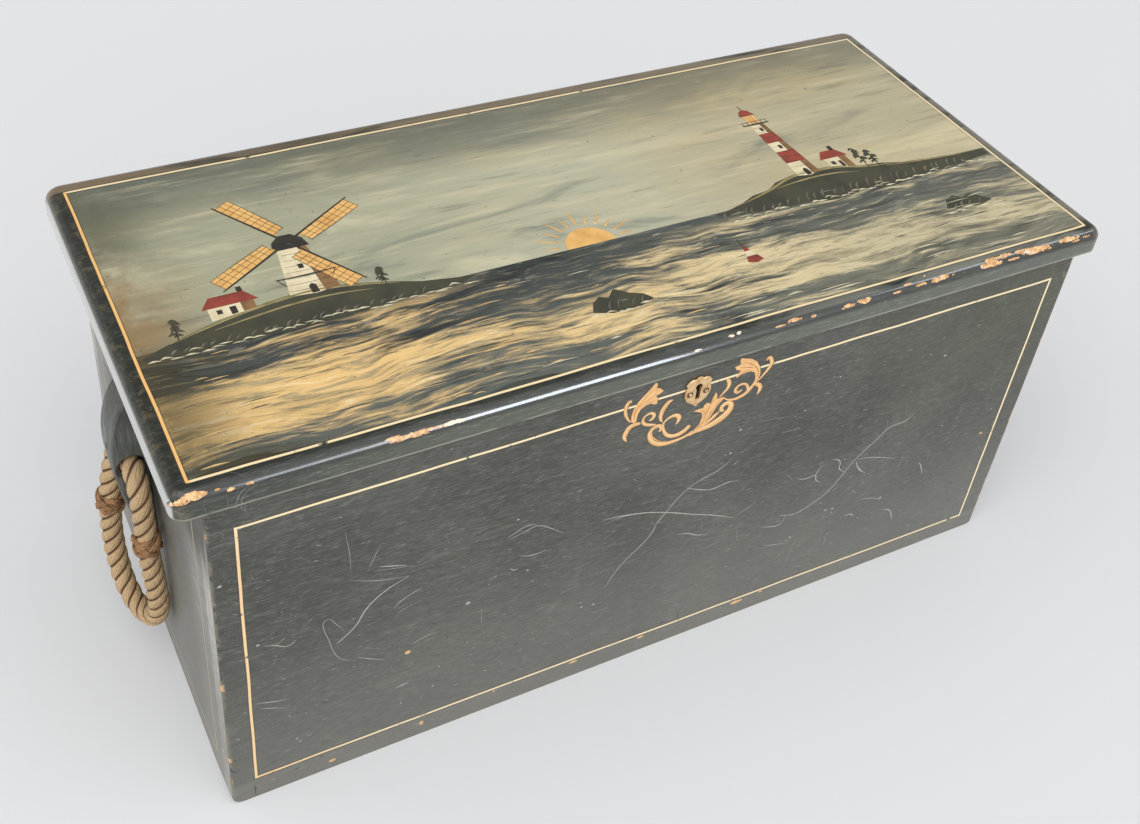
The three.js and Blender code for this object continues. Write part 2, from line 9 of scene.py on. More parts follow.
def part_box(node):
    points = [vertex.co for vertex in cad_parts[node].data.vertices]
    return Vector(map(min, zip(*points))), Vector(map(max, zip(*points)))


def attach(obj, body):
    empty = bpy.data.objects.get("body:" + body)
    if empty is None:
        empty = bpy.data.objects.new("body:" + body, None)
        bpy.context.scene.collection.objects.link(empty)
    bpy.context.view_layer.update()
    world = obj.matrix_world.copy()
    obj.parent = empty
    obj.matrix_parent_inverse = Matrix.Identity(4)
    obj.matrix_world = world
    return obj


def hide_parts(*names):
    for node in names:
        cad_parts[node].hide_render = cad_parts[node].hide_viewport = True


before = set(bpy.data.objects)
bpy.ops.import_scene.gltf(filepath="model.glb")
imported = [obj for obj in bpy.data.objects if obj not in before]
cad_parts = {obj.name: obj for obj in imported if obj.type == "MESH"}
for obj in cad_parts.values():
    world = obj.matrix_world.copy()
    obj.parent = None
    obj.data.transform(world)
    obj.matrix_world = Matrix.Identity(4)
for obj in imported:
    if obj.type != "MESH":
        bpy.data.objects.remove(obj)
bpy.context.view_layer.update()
mm = 0.001

# Camera. It stands in front of the left corner at about eye height and looks down on the
# lid, with the frame set a little low and to the left of the lens's middle.
camera_data = bpy.data.cameras.new("camera")
camera_data.lens = 44.87
camera_data.sensor_width = 36
camera_data.shift_x = 0.0149
camera_data.shift_y = -0.0955
camera = bpy.data.objects.new("camera", camera_data)
camera.location = (-0.6314, -0.9953, 1.2678)
camera.rotation_euler = [math.radians(angle) for angle in (50.826, -4.760, -27.327)]
bpy.context.scene.collection.objects.link(camera)
bpy.context.scene.camera = camera
bpy.context.scene.view_settings.view_transform = "Standard"

# Becket ropes. Each is a ring of three-strand hemp, laid right-handed and spliced, that
# runs through the cleat and hangs as a loop. The grooves between strands are darkened as painted shade.
front_low, front_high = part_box("front_board")
back_low, back_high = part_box("back_board")
end_low, end_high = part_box("right_end_board")
half_length = end_high.x
middle_y = (front_low.y + back_high.y) / 2
body_top = front_high.z
rope_hole_height = body_top - 139 * mm
rope_radius = 11 * mm
rope_turn = 47 * mm
strand_radius = 6.3 * mm
strand_offset = rope_radius - strand_radius
strand_stretch = 1.2
strand_sides = 12
ring_spacing = 1.6 * mm

becket_route = [
    (15.5, -0.6, 0), (15.5, -9, 0), (15.5, -17, 0), (15.5, -24.5, -1.6), (15.5, -31, -6),
    (15.5, -36, -13), (15.5, -39, -22), (15.6, -41, -33), (15.8, -42.5, -46), (16, -44, -62),
    (16, -44, -78), (16, -44, -94), (15, -45, -114), (14, -45, -135), (13.2, -44.5, -156),
    (13, -43, -175), (14.5, -38.5, -192), (18.5, -30, -204), (23.5, -18, -209.5),
    (28.5, -5, -207), (32.5, 7, -197.5), (35, 16, -183), (36.3, 23, -164), (36.8, 27.5, -143),
    (36.2, 30, -123), (34.5, 31, -102), (33, 31, -86), (31.5, 31, -70), (28.6, 31.5, -55),
    (24.5, 33, -40), (20.5, 33.8, -27), (17.4, 32.2, -15), (15.8, 27.5, -5.2),
    (15.5, 20.5, -0.4), (15.5, 13, 0), (15.5, 6, 0), (15.5, 0.6, 0),
]


def tint(red, green, blue):
    def linear(value):
        share = value / 255
        return share / 12.92 if share <= 0.04045 else ((share + 0.055) / 1.055) ** 2.4

    return (linear(red), linear(green), linear(blue), 1.0)


def new_finish(name, roughness=0.5, metallic=0.0, coat=0.0):
    finish = bpy.data.materials.new(name)
    finish.use_nodes = True
    shader = finish.node_tree.nodes["Principled BSDF"]
    shader.inputs["Roughness"].default_value = roughness
    shader.inputs["Metallic"].default_value = metallic
    shader.inputs["Coat Weight"].default_value = coat
    return finish, finish.node_tree, shader


def plug(tree, value, socket):
    if isinstance(value, bpy.types.NodeSocket):
        tree.links.new(value, socket)
    else:
        socket.default_value = value


def calc(tree, operation, *values):
    made = tree.nodes.new("ShaderNodeMath")
    made.operation = operation
    for value, socket in zip(values, made.inputs):
        plug(tree, value, socket)
    return made.outputs[0]


def rise(tree, value, low, high):
    made = tree.nodes.new("ShaderNodeMapRange")
    made.interpolation_type = "SMOOTHSTEP"
    plug(tree, value, made.inputs["Value"])
    plug(tree, low, made.inputs["From Min"])
    plug(tree, high, made.inputs["From Max"])
    return made.outputs["Result"]


def mixed(tree, share, first, second):
    made = tree.nodes.new("ShaderNodeMix")
    made.data_type = "RGBA"
    plug(tree, share, made.inputs[0])
    plug(tree, first, made.inputs[6])
    plug(tree, second, made.inputs[7])
    return made.outputs[2]


def scaled(tree, place, shares):
    made = tree.nodes.new("ShaderNodeVectorMath")
    made.operation = "MULTIPLY"
    plug(tree, place, made.inputs[0])
    made.inputs[1].default_value = shares
    return made.outputs[0]


def noise(tree, place, scale, detail=3.0, rough=0.55, distortion=0.0):
    made = tree.nodes.new("ShaderNodeTexNoise")
    plug(tree, place, made.inputs["Vector"])
    made.inputs["Scale"].default_value = scale
    made.inputs["Detail"].default_value = detail
    made.inputs["Roughness"].default_value = rough
    made.inputs["Distortion"].default_value = distortion
    return made.outputs["Fac"]


def parts_of(tree, place):
    made = tree.nodes.new("ShaderNodeSeparateXYZ")
    plug(tree, place, made.inputs[0])
    return made.outputs[0], made.outputs[1], made.outputs[2]


def bumped(tree, shader, height, distance, strength=1.0):
    made = tree.nodes.new("ShaderNodeBump")
    plug(tree, height, made.inputs["Height"])
    made.inputs["Distance"].default_value = distance
    made.inputs["Strength"].default_value = strength
    tree.links.new(made.outputs[0], shader.inputs["Normal"])


def along_route(points, spacing):
    """Even points on the smooth line that passes through the given points."""
    fine = []
    ends = [points[0] * 2 - points[1], *points, points[-1] * 2 - points[-2]]
    for before, start, end, after in zip(ends, ends[1:], ends[2:], ends[3:]):
        gap_0 = (start - before).length ** 0.5
        gap_1 = (end - start).length ** 0.5
        gap_2 = (after - end).length ** 0.5
        leave = (start - before) / gap_0 - (end - before) / (gap_0 + gap_1) + (end - start) / gap_1
        reach = (end - start) / gap_1 - (after - start) / (gap_1 + gap_2) + (after - end) / gap_2
        leave, reach = leave * gap_1, reach * gap_1
        for step in range(24):
            t = step / 24
            fine.append(
                start * (2 * t**3 - 3 * t**2 + 1)
                + leave * (t**3 - 2 * t**2 + t)
                + end * (3 * t**2 - 2 * t**3)
                + reach * (t**3 - t**2)
            )
    fine.append(points[-1].copy())
    run = [0.0]
    for a, b in zip(fine, fine[1:]):
        run.append(run[-1] + (b - a).length)
    count = round(run[-1] / spacing)
    even, index = [], 0
    for number in range(count + 1):
        target = run[-1] * number / count
        while index < len(fine) - 2 and run[index + 1] < target:
            index += 1
        share = (target - run[index]) / (run[index + 1] - run[index])
        even.append(fine[index].lerp(fine[index + 1], share))
    return even, run[-1]


def rings_along(line):
    """Two directions square to the line at each of its points, without twist."""
    sides = []
    forward = (line[1] - line[0]).normalized()
    side = forward.orthogonal().normalized()
    for number in range(len(line)):
        ahead = line[min(number + 1, len(line) - 1)] - line[max(number - 1, 0)]
        turn = forward.rotation_difference(ahead.normalized())
        side = (turn @ side).normalized()
        forward = ahead.normalized()
        sides.append((side, forward.cross(side)))
    return sides


def tube_rows(line_points, section, close=False):
    """Vertices and faces of a tube whose ring at each step is given by section(step)."""
    vertices, faces, around = [], [], 0
    for number in range(line_points):
        ring = section(number)
        around = len(ring)
        vertices.extend(ring)
    rows = line_points if close else line_points - 1
    for row in range(rows):
        this, following = row * around, (row + 1) % line_points * around
        for corner in range(around):
            beside = (corner + 1) % around
            faces.append((this + corner, this + beside, following + beside, following + corner))
    if not close:
        last = (line_points - 1) * around
        faces.append(tuple(reversed(range(around))))
        faces.append(tuple(range(last, last + around)))
    return vertices, faces


def mesh_piece(name, groups, finish, smooth=True):
    vertices, faces = [], []
    for some_vertices, some_faces in groups:
        start = len(vertices)
        vertices.extend(some_vertices)
        faces.extend(tuple(start + corner for corner in face) for face in some_faces)
    mesh = bpy.data.meshes.new(name)
    mesh.from_pydata([tuple(vertex) for vertex in vertices], [], faces)
    mesh.validate()
    made = bpy.data.objects.new(name, mesh)
    bpy.context.scene.collection.objects.link(made)
    mesh.materials.append(finish)
    if smooth:
        mesh.polygons.foreach_set("use_smooth", [True] * len(mesh.polygons))
    return made


def face_outwards(made):
    shell = bmesh.new()
    shell.from_mesh(made.data)
    bmesh.ops.recalc_face_normals(shell, faces=shell.faces)
    shell.to_mesh(made.data)
    shell.free()


def rope_finish():
    finish, tree, shader = new_finish("hemp_rope", roughness=0.85)
    groove = tree.nodes.new("ShaderNodeAttribute")
    groove.attribute_name = "groove"
    along = tree.nodes.new("ShaderNodeUVMap")
    yarn = tree.nodes.new("ShaderNodeTexWave")
    yarn.bands_direction = "DIAGONAL"
    plug(tree, scaled(tree, along.outputs[0], (9.0, 1.6, 0.0)), yarn.inputs["Vector"])
    yarn.inputs["Scale"].default_value = 1.0
    yarn.inputs["Distortion"].default_value = 1.6
    place = tree.nodes.new("ShaderNodeTexCoord").outputs["Object"]
    patches = noise(tree, place, 45.0, 4.0)
    fibres = noise(tree, scaled(tree, along.outputs[0], (60.0, 6.0, 1.0)), 1.0, 5.0)
    straw = mixed(tree, patches, tint(212, 184, 142), tint(182, 152, 112))
    straw = mixed(tree, rise(tree, fibres, 0.35, 0.6), tint(150, 118, 82), straw)
    straw = mixed(tree, calc(tree, "MULTIPLY", yarn.outputs["Fac"], 0.35), straw, tint(224, 198, 156))
    # painted shade: the rope darkens where each strand's surface turns into the grooves between strands
    dark = rise(tree, calc(tree, "ADD", groove.outputs["Fac"], calc(tree, "MULTIPLY", patches, 0.25)), 0.55, 0.95)
    straw = mixed(tree, dark, straw, tint(96, 66, 42))
    soiled = rise(tree, noise(tree, place, 22.0, 3.0), 0.62, 0.72)
    straw = mixed(tree, calc(tree, "MULTIPLY", soiled, 0.45), straw, tint(104, 76, 50))
    plug(tree, straw, shader.inputs["Base Color"])
    height = calc(tree, "ADD", yarn.outputs["Fac"], calc(tree, "MULTIPLY", fibres, 0.8))
    bumped(tree, shader, height, 0.35 * mm, 0.9)
    return finish


hemp = rope_finish()


def becket_rope(name, side):
    line, length = along_route(
        [
            Vector((side * (half_length + out * mm), middle_y + along * mm, rope_hole_height + up * mm))
            for out, along, up in becket_route
        ],
        ring_spacing,
    )
    sides = rings_along(line)
    groups, grooves, coordinates = [], [], []
    for strand in range(3):
        for number in range(len(line)):
            for corner in range(strand_sides):
                turn = 2 * math.pi * corner / strand_sides
                reach = strand_offset + strand_radius * math.cos(turn)
                across = strand_radius * strand_stretch * math.sin(turn)
                radius = math.hypot(reach, across)
                grooves.append(min(1.0, max(0.0, (1 - radius / rope_radius) / 0.2)))

        def section(number, strand=strand):
            first, second = sides[number]
            phase = 2 * math.pi * (number * length / (len(line) - 1) / rope_turn + strand / 3)
            outward = first * math.cos(phase) + second * math.sin(phase)
            beside = second * math.cos(phase) - first * math.sin(phase)
            ring = []
            for corner in range(strand_sides):
                turn = 2 * math.pi * corner / strand_sides
                reach = strand_offset + strand_radius * math.cos(turn)
                across = strand_radius * strand_stretch * math.sin(turn)
                ring.append(line[number] + outward * reach + beside * across)
            return ring

        groups.append(tube_rows(len(line), section))
    rope = mesh_piece(name, groups, hemp)
    attribute = rope.data.attributes.new("groove", "FLOAT", "POINT")
    attribute.data.foreach_set("value", grooves)
    layer = rope.data.uv_layers.new(name="UVMap")
    per_strand = len(line) * strand_sides
    for polygon in rope.data.polygons:
        corners = [rope.data.loops[loop].vertex_index % strand_sides for loop in polygon.loop_indices]
        wraps = 0 in corners and strand_sides - 1 in corners
        for loop, corner in zip(polygon.loop_indices, corners):
            number = rope.data.loops[loop].vertex_index % per_strand // strand_sides
            around = strand_sides if wraps and corner == 0 else corner
            layer.data[loop].uv = (around / strand_sides, number * ring_spacing / rope_radius)
    face_outwards(rope)
    return rope, line, length


# Ring knots. Each leg of a becket wears a woven ring of thin tarred twine, worked over
# and under in three leads of three strands, over a sleeve of the same twine.
twine_radius = 1.05 * mm
twine_spacing = 2.0 * mm
knot_leads = 3
knot_bights = 5
knot_radius = 13.0 * mm
knot_half_height = 8.6 * mm
knot_weave = 0.95 * mm
knot_steps = 75


def twine_finish():
    finish, tree, shader = new_finish("knot_twine", roughness=0.8)
    place = tree.nodes.new("ShaderNodeTexCoord").outputs["Object"]
    patches = noise(tree, place, 180.0, 3.0)
    fine = noise(tree, place, 1400.0, 2.0)
    brown = mixed(tree, rise(tree, patches, 0.38, 0.62), tint(104, 72, 46), tint(160, 118, 78))
    brown = mixed(tree, rise(tree, fine, 0.5, 0.7), brown, tint(206, 164, 118))
    plug(tree, brown, shader.inputs["Base Color"])
    bumped(tree, shader, fine, 0.2 * mm)
    return finish


twine = twine_finish()


def only(made):
    bpy.ops.object.select_all(action="DESELECT")
    made.select_set(True)
    bpy.context.view_layer.objects.active = made


def solid_of(name, curve, finish):
    """A curve turned into one closed mesh."""
    made = bpy.data.objects.new(name, curve)
    bpy.context.scene.collection.objects.link(made)
    only(made)
    bpy.ops.object.convert(target="MESH")
    bpy.ops.object.mode_set(mode="EDIT")
    bpy.ops.mesh.select_all(action="SELECT")
    bpy.ops.mesh.remove_doubles(threshold=0.000002)
    bpy.ops.mesh.normals_make_consistent(inside=False)
    bpy.ops.object.mode_set(mode="OBJECT")
    made = bpy.context.object
    made.data.materials.clear()
    made.data.materials.append(finish)
    return made


def threads(name, lines, finish, closed):
    """Round threads, each a list of places with the thread's radius there."""
    curve = bpy.data.curves.new(name, "CURVE")
    curve.dimensions = "3D"
    curve.bevel_depth = 1.0
    curve.bevel_resolution = 1
    curve.resolution_u = 4
    curve.use_fill_caps = True
    for line in lines:
        spline = curve.splines.new("BEZIER")
        spline.bezier_points.add(len(line) - 1)
        spline.use_cyclic_u = closed
        for point, (place, radius) in zip(spline.bezier_points, line):
            point.co = place
            point.radius = radius
            point.handle_left_type = point.handle_right_type = "AUTO"
    made = solid_of(name, curve, finish)
    bpy.ops.object.shade_smooth()
    return made


def ring_knot(name, centre, axis):
    axis = axis.normalized()
    first = axis.orthogonal().normalized()
    second = axis.cross(first)

    def on_barrel(angle, height, lift):
        belly = 1 - 0.10 * (height / (12 * mm)) ** 2
        radius = knot_radius * belly + lift
        return centre + (first * math.cos(angle) + second * math.sin(angle)) * radius + axis * height

    def woven(step, offset):
        turn = 2 * math.pi * step / knot_steps
        angle, phase = knot_leads * turn, knot_bights * turn
        slope = math.atan2(
            -knot_half_height * knot_bights * math.sin(phase), knot_radius * knot_leads
        )
        height = knot_half_height * math.cos(phase) + offset * math.cos(slope)
        angle -= offset * math.sin(slope) / knot_radius
        return on_barrel(angle, height, knot_weave * math.sin(2 * phase))

    lines = [
        [(woven(step, lead * twine_spacing), twine_radius) for step in range(knot_steps)]
        for lead in (-1, 0, 1)
    ]
    for turn in range(-4, 5):
        lines.append([
            (on_barrel(math.pi * step / 8, turn * twine_spacing * 1.2, -1.5 * twine_radius), twine_radius)
            for step in range(16)
        ])
    return threads(name, lines, twine, closed=True)


for hand, side in (("left", -1), ("right", 1)):
    rope, line, length = becket_rope(f"{hand}_becket_hemp", side)
    for leg, index in (("front", 10), ("back", 26)):
        before, at, after = [
            Vector((side * (half_length + out * mm), middle_y + along * mm, rope_hole_height + up * mm))
            for out, along, up in becket_route[index - 1 : index + 2]
        ]
        knot = ring_knot(f"{hand}_becket_{leg}_ring_knot", at, after - before)
        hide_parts(f"{hand}_becket_{leg}_knot")
        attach(knot, f"{hand}_becket")
    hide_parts(f"{hand}_becket_rope")
    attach(rope, f"{hand}_becket")

# Bare wood of the inside, the till, the bottom and the battens: aged softwood with open
# grain along each board, darker stains in patches, planed and never finished.


def bare_wood(name, grain, light=(182, 142, 96), dark=(136, 98, 60)):
    finish, tree, shader = new_finish(name, roughness=0.72)
    place = tree.nodes.new("ShaderNodeTexCoord").outputs["Object"]
    along = scaled(tree, place, tuple(1.0 if axis == grain else 14.0 for axis in "xyz"))
    rings = noise(tree, along, 5.0, 5.0, 0.6, 0.6)
    fine = noise(tree, scaled(tree, place, tuple(8.0 if axis == grain else 260.0 for axis in "xyz")), 1.0, 4.0)
    stains = noise(tree, place, 7.0, 4.0)
    colour = mixed(tree, rise(tree, rings, 0.35, 0.65), tint(*light), tint(*dark))
    colour = mixed(tree, calc(tree, "MULTIPLY", rise(tree, fine, 0.5, 0.75), 0.5), colour, tint(104, 72, 44))
    colour = mixed(tree, calc(tree, "MULTIPLY", rise(tree, stains, 0.45, 0.75), 0.35), colour, tint(88, 66, 46))
    plug(tree, colour, shader.inputs["Base Color"])
    bumped(tree, shader, calc(tree, "ADD", rings, fine), 0.25 * mm, 0.6)
    return finish, tree, shader, colour


def dress(node, finish):
    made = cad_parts[node]
    made.data.materials.clear()
    made.data.materials.append(finish)


def smooth_copy(node, name, finish, body, angle=40):
    """The CAD node's own shape with its facets merged and shaded smooth."""
    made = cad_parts[node].copy()
    made.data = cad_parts[node].data.copy()
    made.name = name
    for key in [key for key in made.keys() if key.startswith("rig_")]:
        del made[key]
    made.parent = None
    bpy.context.scene.collection.objects.link(made)
    only(made)
    bpy.ops.mesh.customdata_custom_splitnormals_clear()
    bpy.ops.object.mode_set(mode="EDIT")
    bpy.ops.mesh.select_all(action="SELECT")
    bpy.ops.mesh.remove_doubles(threshold=0.01 * mm)
    bpy.ops.mesh.dissolve_limited(angle_limit=math.radians(0.5))
    bpy.ops.object.mode_set(mode="OBJECT")
    bpy.ops.object.shade_smooth_by_angle(angle=math.radians(angle))
    made.data.materials.clear()
    made.data.materials.append(finish)
    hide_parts(node)
    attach(made, body)
    return made


wood_along_x = bare_wood("bare_wood_lengthwise", "x")[0]
wood_along_y = bare_wood("bare_wood_crosswise", "y")[0]
for node in ("bottom_board_front", "bottom_board_back"):
    dress(node, wood_along_x)
for node in ("till_front", "till_bottom", "lid_batten_left", "lid_batten_right"):
    dress(node, wood_along_y)

# Carcass boards: dovetailed softwood under one coat of dark green-grey paint, with a thin
# cream line round each outer face. The paint is worn off the corners and the foot.
line_half_width = 1.35 * mm
paint_dark = tint(58, 58, 51)
paint_light = tint(80, 80, 72)
line_cream = tint(246, 226, 182)
line_orange = tint(244, 206, 152)
chip_wood = tint(220, 174, 116)


def drawn_line(tree, across, place_of_line, along, start, end, waver):
    offset = calc(tree, "ABSOLUTE", calc(tree, "SUBTRACT", calc(tree, "ADD", across, waver), place_of_line))
    near = calc(tree, "SUBTRACT", 1.0, rise(tree, offset, line_half_width * 0.75, line_half_width * 1.15))
    rim = calc(tree, "SUBTRACT", 1.0, rise(tree, offset, line_half_width * 1.2, line_half_width * 2.2))
    inside = calc(tree, "MULTIPLY", rise(tree, along, start - 0.001, start), rise(tree, along, end + 0.001, end))
    return calc(tree, "MULTIPLY", near, inside), calc(tree, "MULTIPLY", rim, inside)


def frame_lines(tree, lines, waver):
    cream, rim = 0.0, 0.0
    for across, place_of_line, along, start, end in lines:
        one, one_rim = drawn_line(tree, across, place_of_line, along, start, end, waver)
        cream = calc(tree, "MAXIMUM", cream, one)
        rim = calc(tree, "MAXIMUM", rim, one_rim)
    return cream, rim


def weathered_paint(tree, place, dark, light, grain_shares):
    """Brushed paint: cloudy tone, streaks of the brush, hair scores, nicks and pits."""
    clouds = noise(tree, place, 6.0, 5.0, 0.6)
    colour = mixed(tree, rise(tree, clouds, 0.32, 0.68), dark, light)
    strokes = noise(tree, scaled(tree, place, grain_shares), 1.0, 6.0, 0.7)
    colour = mixed(tree, calc(tree, "MULTIPLY", rise(tree, strokes, 0.52, 0.74), 0.5), colour, tint(113, 114, 104))
    colour = mixed(tree, calc(tree, "MULTIPLY", rise(tree, strokes, 0.46, 0.28), 0.5), colour, tint(44, 45, 39))
    dry = noise(tree, scaled(tree, place, tuple(share * 3.1 for share in grain_shares)), 1.0, 3.0, 0.7)
    dry = calc(tree, "MULTIPLY", rise(tree, dry, 0.60, 0.70), rise(tree, noise(tree, place, 13.0, 3.0), 0.45, 0.6))
    colour = mixed(tree, calc(tree, "MULTIPLY", dry, 0.55), colour, tint(143, 143, 132))
    hair = noise(tree, place, 13.0, 2.0, 0.5, 2.4)
    hair = calc(tree, "ABSOLUTE", calc(tree, "SUBTRACT", hair, 0.5))
    sparse = rise(tree, noise(tree, place, 11.0, 2.0), 0.58, 0.64)
    hair = calc(tree, "MULTIPLY", calc(tree, "SUBTRACT", 1.0, rise(tree, hair, 0.0012, 0.0034)), sparse)
    colour = mixed(tree, calc(tree, "MULTIPLY", hair, 0.6), colour, tint(142, 142, 132))
    specks = noise(tree, place, 210.0, 2.0, 0.5)
    colour = mixed(tree, calc(tree, "MULTIPLY", rise(tree, specks, 0.31, 0.26), 0.7), colour, tint(30, 31, 27))
    grit = noise(tree, scaled(tree, place, tuple(share * 5.0 for share in grain_shares)), 1.0, 3.0, 0.6)
    colour = mixed(tree, calc(tree, "MULTIPLY", rise(tree, grit, 0.53, 0.70), 0.5), colour, tint(126, 127, 118))
    colour = mixed(tree, calc(tree, "MULTIPLY", rise(tree, grit, 0.48, 0.32), 0.6), colour, tint(44, 45, 39))
    scuffs = noise(tree, scaled(tree, place, tuple(share**0.25 for share in grain_shares)), 14.0, 6.0, 0.75)
    colour = mixed(tree, calc(tree, "MULTIPLY", rise(tree, scuffs, 0.58, 0.72), 0.3), colour, tint(134, 134, 124))
    return colour, strokes, specks


def carcass_finish(name, grain_shares, wood_grain):
    finish, tree, shader, wood = bare_wood(name, wood_grain)
    place = tree.nodes.new("ShaderNodeTexCoord").outputs["Object"]
    x, y, z = parts_of(tree, place)
    y = calc(tree, "SUBTRACT", y, middle_y)
    colour, strokes, specks = weathered_paint(tree, place, paint_dark, paint_light, grain_shares)
    depth = abs(front_low.y - middle_y)
    on_front = rise(tree, y, -depth + 0.6 * mm, -depth + 0.3 * mm)
    on_side = rise(tree, calc(tree, "ABSOLUTE", x), half_length - 0.6 * mm, half_length - 0.3 * mm)
    # Paler towards the foot: the broad upward fade is painted light from the bright floor, and the narrow band at the
    # very foot is dust
    foot_dust_and_floor_light = calc(tree, "MULTIPLY", rise(tree, z, 0.27, 0.02), 0.36)
    foot_dust_and_floor_light = calc(tree, "MAXIMUM", foot_dust_and_floor_light, calc(tree, "MULTIPLY", rise(tree, z, 0.034, 0.026), 0.55))
    colour = mixed(tree, foot_dust_and_floor_light, colour, tint(134, 133, 126))
    olive = calc(tree, "MULTIPLY", rise(tree, x, 0.05, 0.42), rise(tree, z, 0.15, 0.38))
    colour = mixed(tree, calc(tree, "MULTIPLY", calc(tree, "MULTIPLY", olive, on_front), 0.4), colour, tint(80, 82, 60))
    rough_edge = calc(tree, "MULTIPLY_ADD", noise(tree, place, 60.0, 4.0, 0.7), 0.012, calc(tree, "ABSOLUTE", y))
    end_grain = rise(tree, rough_edge, depth - 17 * mm, depth - 14 * mm)
    # Paler end faces up to just under the lid's shade band: painted light on the end faces, together with worn paint
    # and end grain near the front and back edges
    pale_end_wear_and_light = calc(tree, "MULTIPLY_ADD", rise(tree, z, 0.15, 0.27), 0.16, 0.16)
    pale_end_wear_and_light = calc(tree, "MULTIPLY_ADD", rise(tree, calc(tree, "ABSOLUTE", y), 0.12, 0.19), pale_end_wear_and_light, 0.1)
    pale_end_wear_and_light = calc(tree, "MULTIPLY_ADD", end_grain, calc(tree, "MULTIPLY_ADD", rise(tree, z, 0.1, 0.3), 0.22, 0.22), pale_end_wear_and_light)
    pale_end_wear_and_light = calc(tree, "MULTIPLY_ADD", calc(tree, "MULTIPLY", pale_end_wear_and_light, rise(tree, strokes, 0.44, 0.60)), 0.6, calc(tree, "MULTIPLY", pale_end_wear_and_light, 0.8))
    pale_end_wear_and_light = calc(tree, "MULTIPLY", pale_end_wear_and_light, calc(tree, "MULTIPLY", rise(tree, z, 0.37, 0.32), on_side))
    fringe = calc(tree, "MULTIPLY", rise(tree, rough_edge, depth - 1 * mm, depth + 2 * mm), rise(tree, z, 0.02, 0.16))
    fringe = calc(tree, "MULTIPLY", fringe, calc(tree, "MULTIPLY", on_side, rise(tree, z, 0.39, 0.36)))
    pale_end_wear_and_light = calc(tree, "MAXIMUM", pale_end_wear_and_light, calc(tree, "MULTIPLY", fringe, 0.75))
    colour = mixed(tree, pale_end_wear_and_light, colour, tint(186, 182, 174))
    # painted shadow: the top band of each end face under the lid's overhang is darkened and browned, less near the
    # front and back edges
    grime = calc(tree, "MULTIPLY", rise(tree, z, 0.305, 0.350), on_side)
    grime = calc(tree, "MULTIPLY", grime, calc(tree, "MULTIPLY_ADD", rise(tree, calc(tree, "ABSOLUTE", y), 0.185, 0.205), -0.6, 1.0))
    colour = mixed(tree, calc(tree, "MULTIPLY", grime, 0.78), colour, tint(52, 44, 27))
    waver = calc(tree, "MULTIPLY", calc(tree, "SUBTRACT", noise(tree, place, 9.0, 2.0), 0.5), 3.0 * mm)

    low_line = calc(tree, "MULTIPLY_ADD", x, -0.0094, 0.0279)
    high_line = calc(tree, "MULTIPLY_ADD", x, 0.0034, 0.3885)
    front_cream, front_rim = frame_lines(tree, [
        (z, low_line, x, -0.4405, 0.440),
        (z, high_line, x, -0.4405, 0.440),
        (x, -0.4400, z, 0.0310, 0.3880),
        (x, 0.4396, z, 0.0230, 0.3905),
    ], waver)
    side_cream, side_rim = frame_lines(tree, [
        (z, 0.0290, y, -0.178, 0.178),
        (z, 0.3880, y, -0.178, 0.178),
        (y, -0.178, z, 0.029, 0.388),
        (y, 0.178, z, 0.029, 0.388),
    ], waver)
    side_cream = calc(tree, "MULTIPLY", side_cream, calc(tree, "MULTIPLY", on_side, 0.45))
    cream = calc(tree, "ADD", calc(tree, "MULTIPLY", front_cream, on_front), side_cream)
    rim = calc(tree, "ADD", calc(tree, "MULTIPLY", front_rim, on_front), calc(tree, "MULTIPLY", side_rim, on_side))
    gaps = rise(tree, noise(tree, place, 70.0, 3.0, 0.6), 0.26, 0.36)
    colour = mixed(tree, calc(tree, "MULTIPLY", rim, 0.45), colour, tint(40, 42, 38))
    warm = calc(tree, "MULTIPLY", rise(tree, x, -0.30, -0.44), rise(tree, z, 0.40, 0.34))
    warm = calc(tree, "MULTIPLY", warm, on_front)
    colour = mixed(tree, calc(tree, "MULTIPLY", cream, gaps), colour, mixed(tree, warm, line_cream, line_orange))

    across = calc(tree, "ABSOLUTE", x)
    deep = calc(tree, "ABSOLUTE", y)
    corner = calc(tree, "MULTIPLY", rise(tree, across, half_length - 4.5 * mm, half_length - 0.5 * mm),
                  rise(tree, deep, depth - 4.5 * mm, depth - 0.5 * mm))
    foot = rise(tree, z, 5.0 * mm, 1.0 * mm)
    rub = noise(tree, scaled(tree, place, (1.0, 1.0, 1.0)), 38.0, 4.0, 0.6)
    worn = calc(tree, "MULTIPLY", corner, rise(tree, rub, 0.42, 0.52))
    colour = mixed(tree, calc(tree, "MULTIPLY", worn, 0.7), colour, tint(128, 124, 108))
    chips = calc(tree, "MAXIMUM", calc(tree, "MULTIPLY", corner, rise(tree, rub, 0.6, 0.63)),
                 calc(tree, "MULTIPLY", foot, rise(tree, rub, 0.66, 0.69)))
    for chip_x, chip_z, chip_wide, chip_high in (
        (-0.094, 0.0240, 8.0, 2.8), (0.116, 0.0205, 11.0, 3.6), (-0.2855, 0.1435, 4.4, 3.4),
        (-0.4655, 0.0380, 2.8, 11.0), (-0.4655, 0.084, 1.8, 6.0), (0.148, 0.0225, 4.0, 2.0),
        (-0.187, 0.0255, 1.5, 3.4), (-0.0106, 0.0225, 4.6, 2.0), (-0.268, 0.0180, 2.8, 3.6),
        (-0.364, 0.0120, 3.6, 2.0), (0.422, 0.170, 2.6, 1.8),
    ):
        from_x = calc(tree, "DIVIDE", calc(tree, "SUBTRACT", x, chip_x), chip_wide * mm)
        from_z = calc(tree, "DIVIDE", calc(tree, "SUBTRACT", z, chip_z), chip_high * mm)
        reach = calc(tree, "SQRT", calc(tree, "ADD", calc(tree, "POWER", from_x, 2.0), calc(tree, "POWER", from_z, 2.0)))
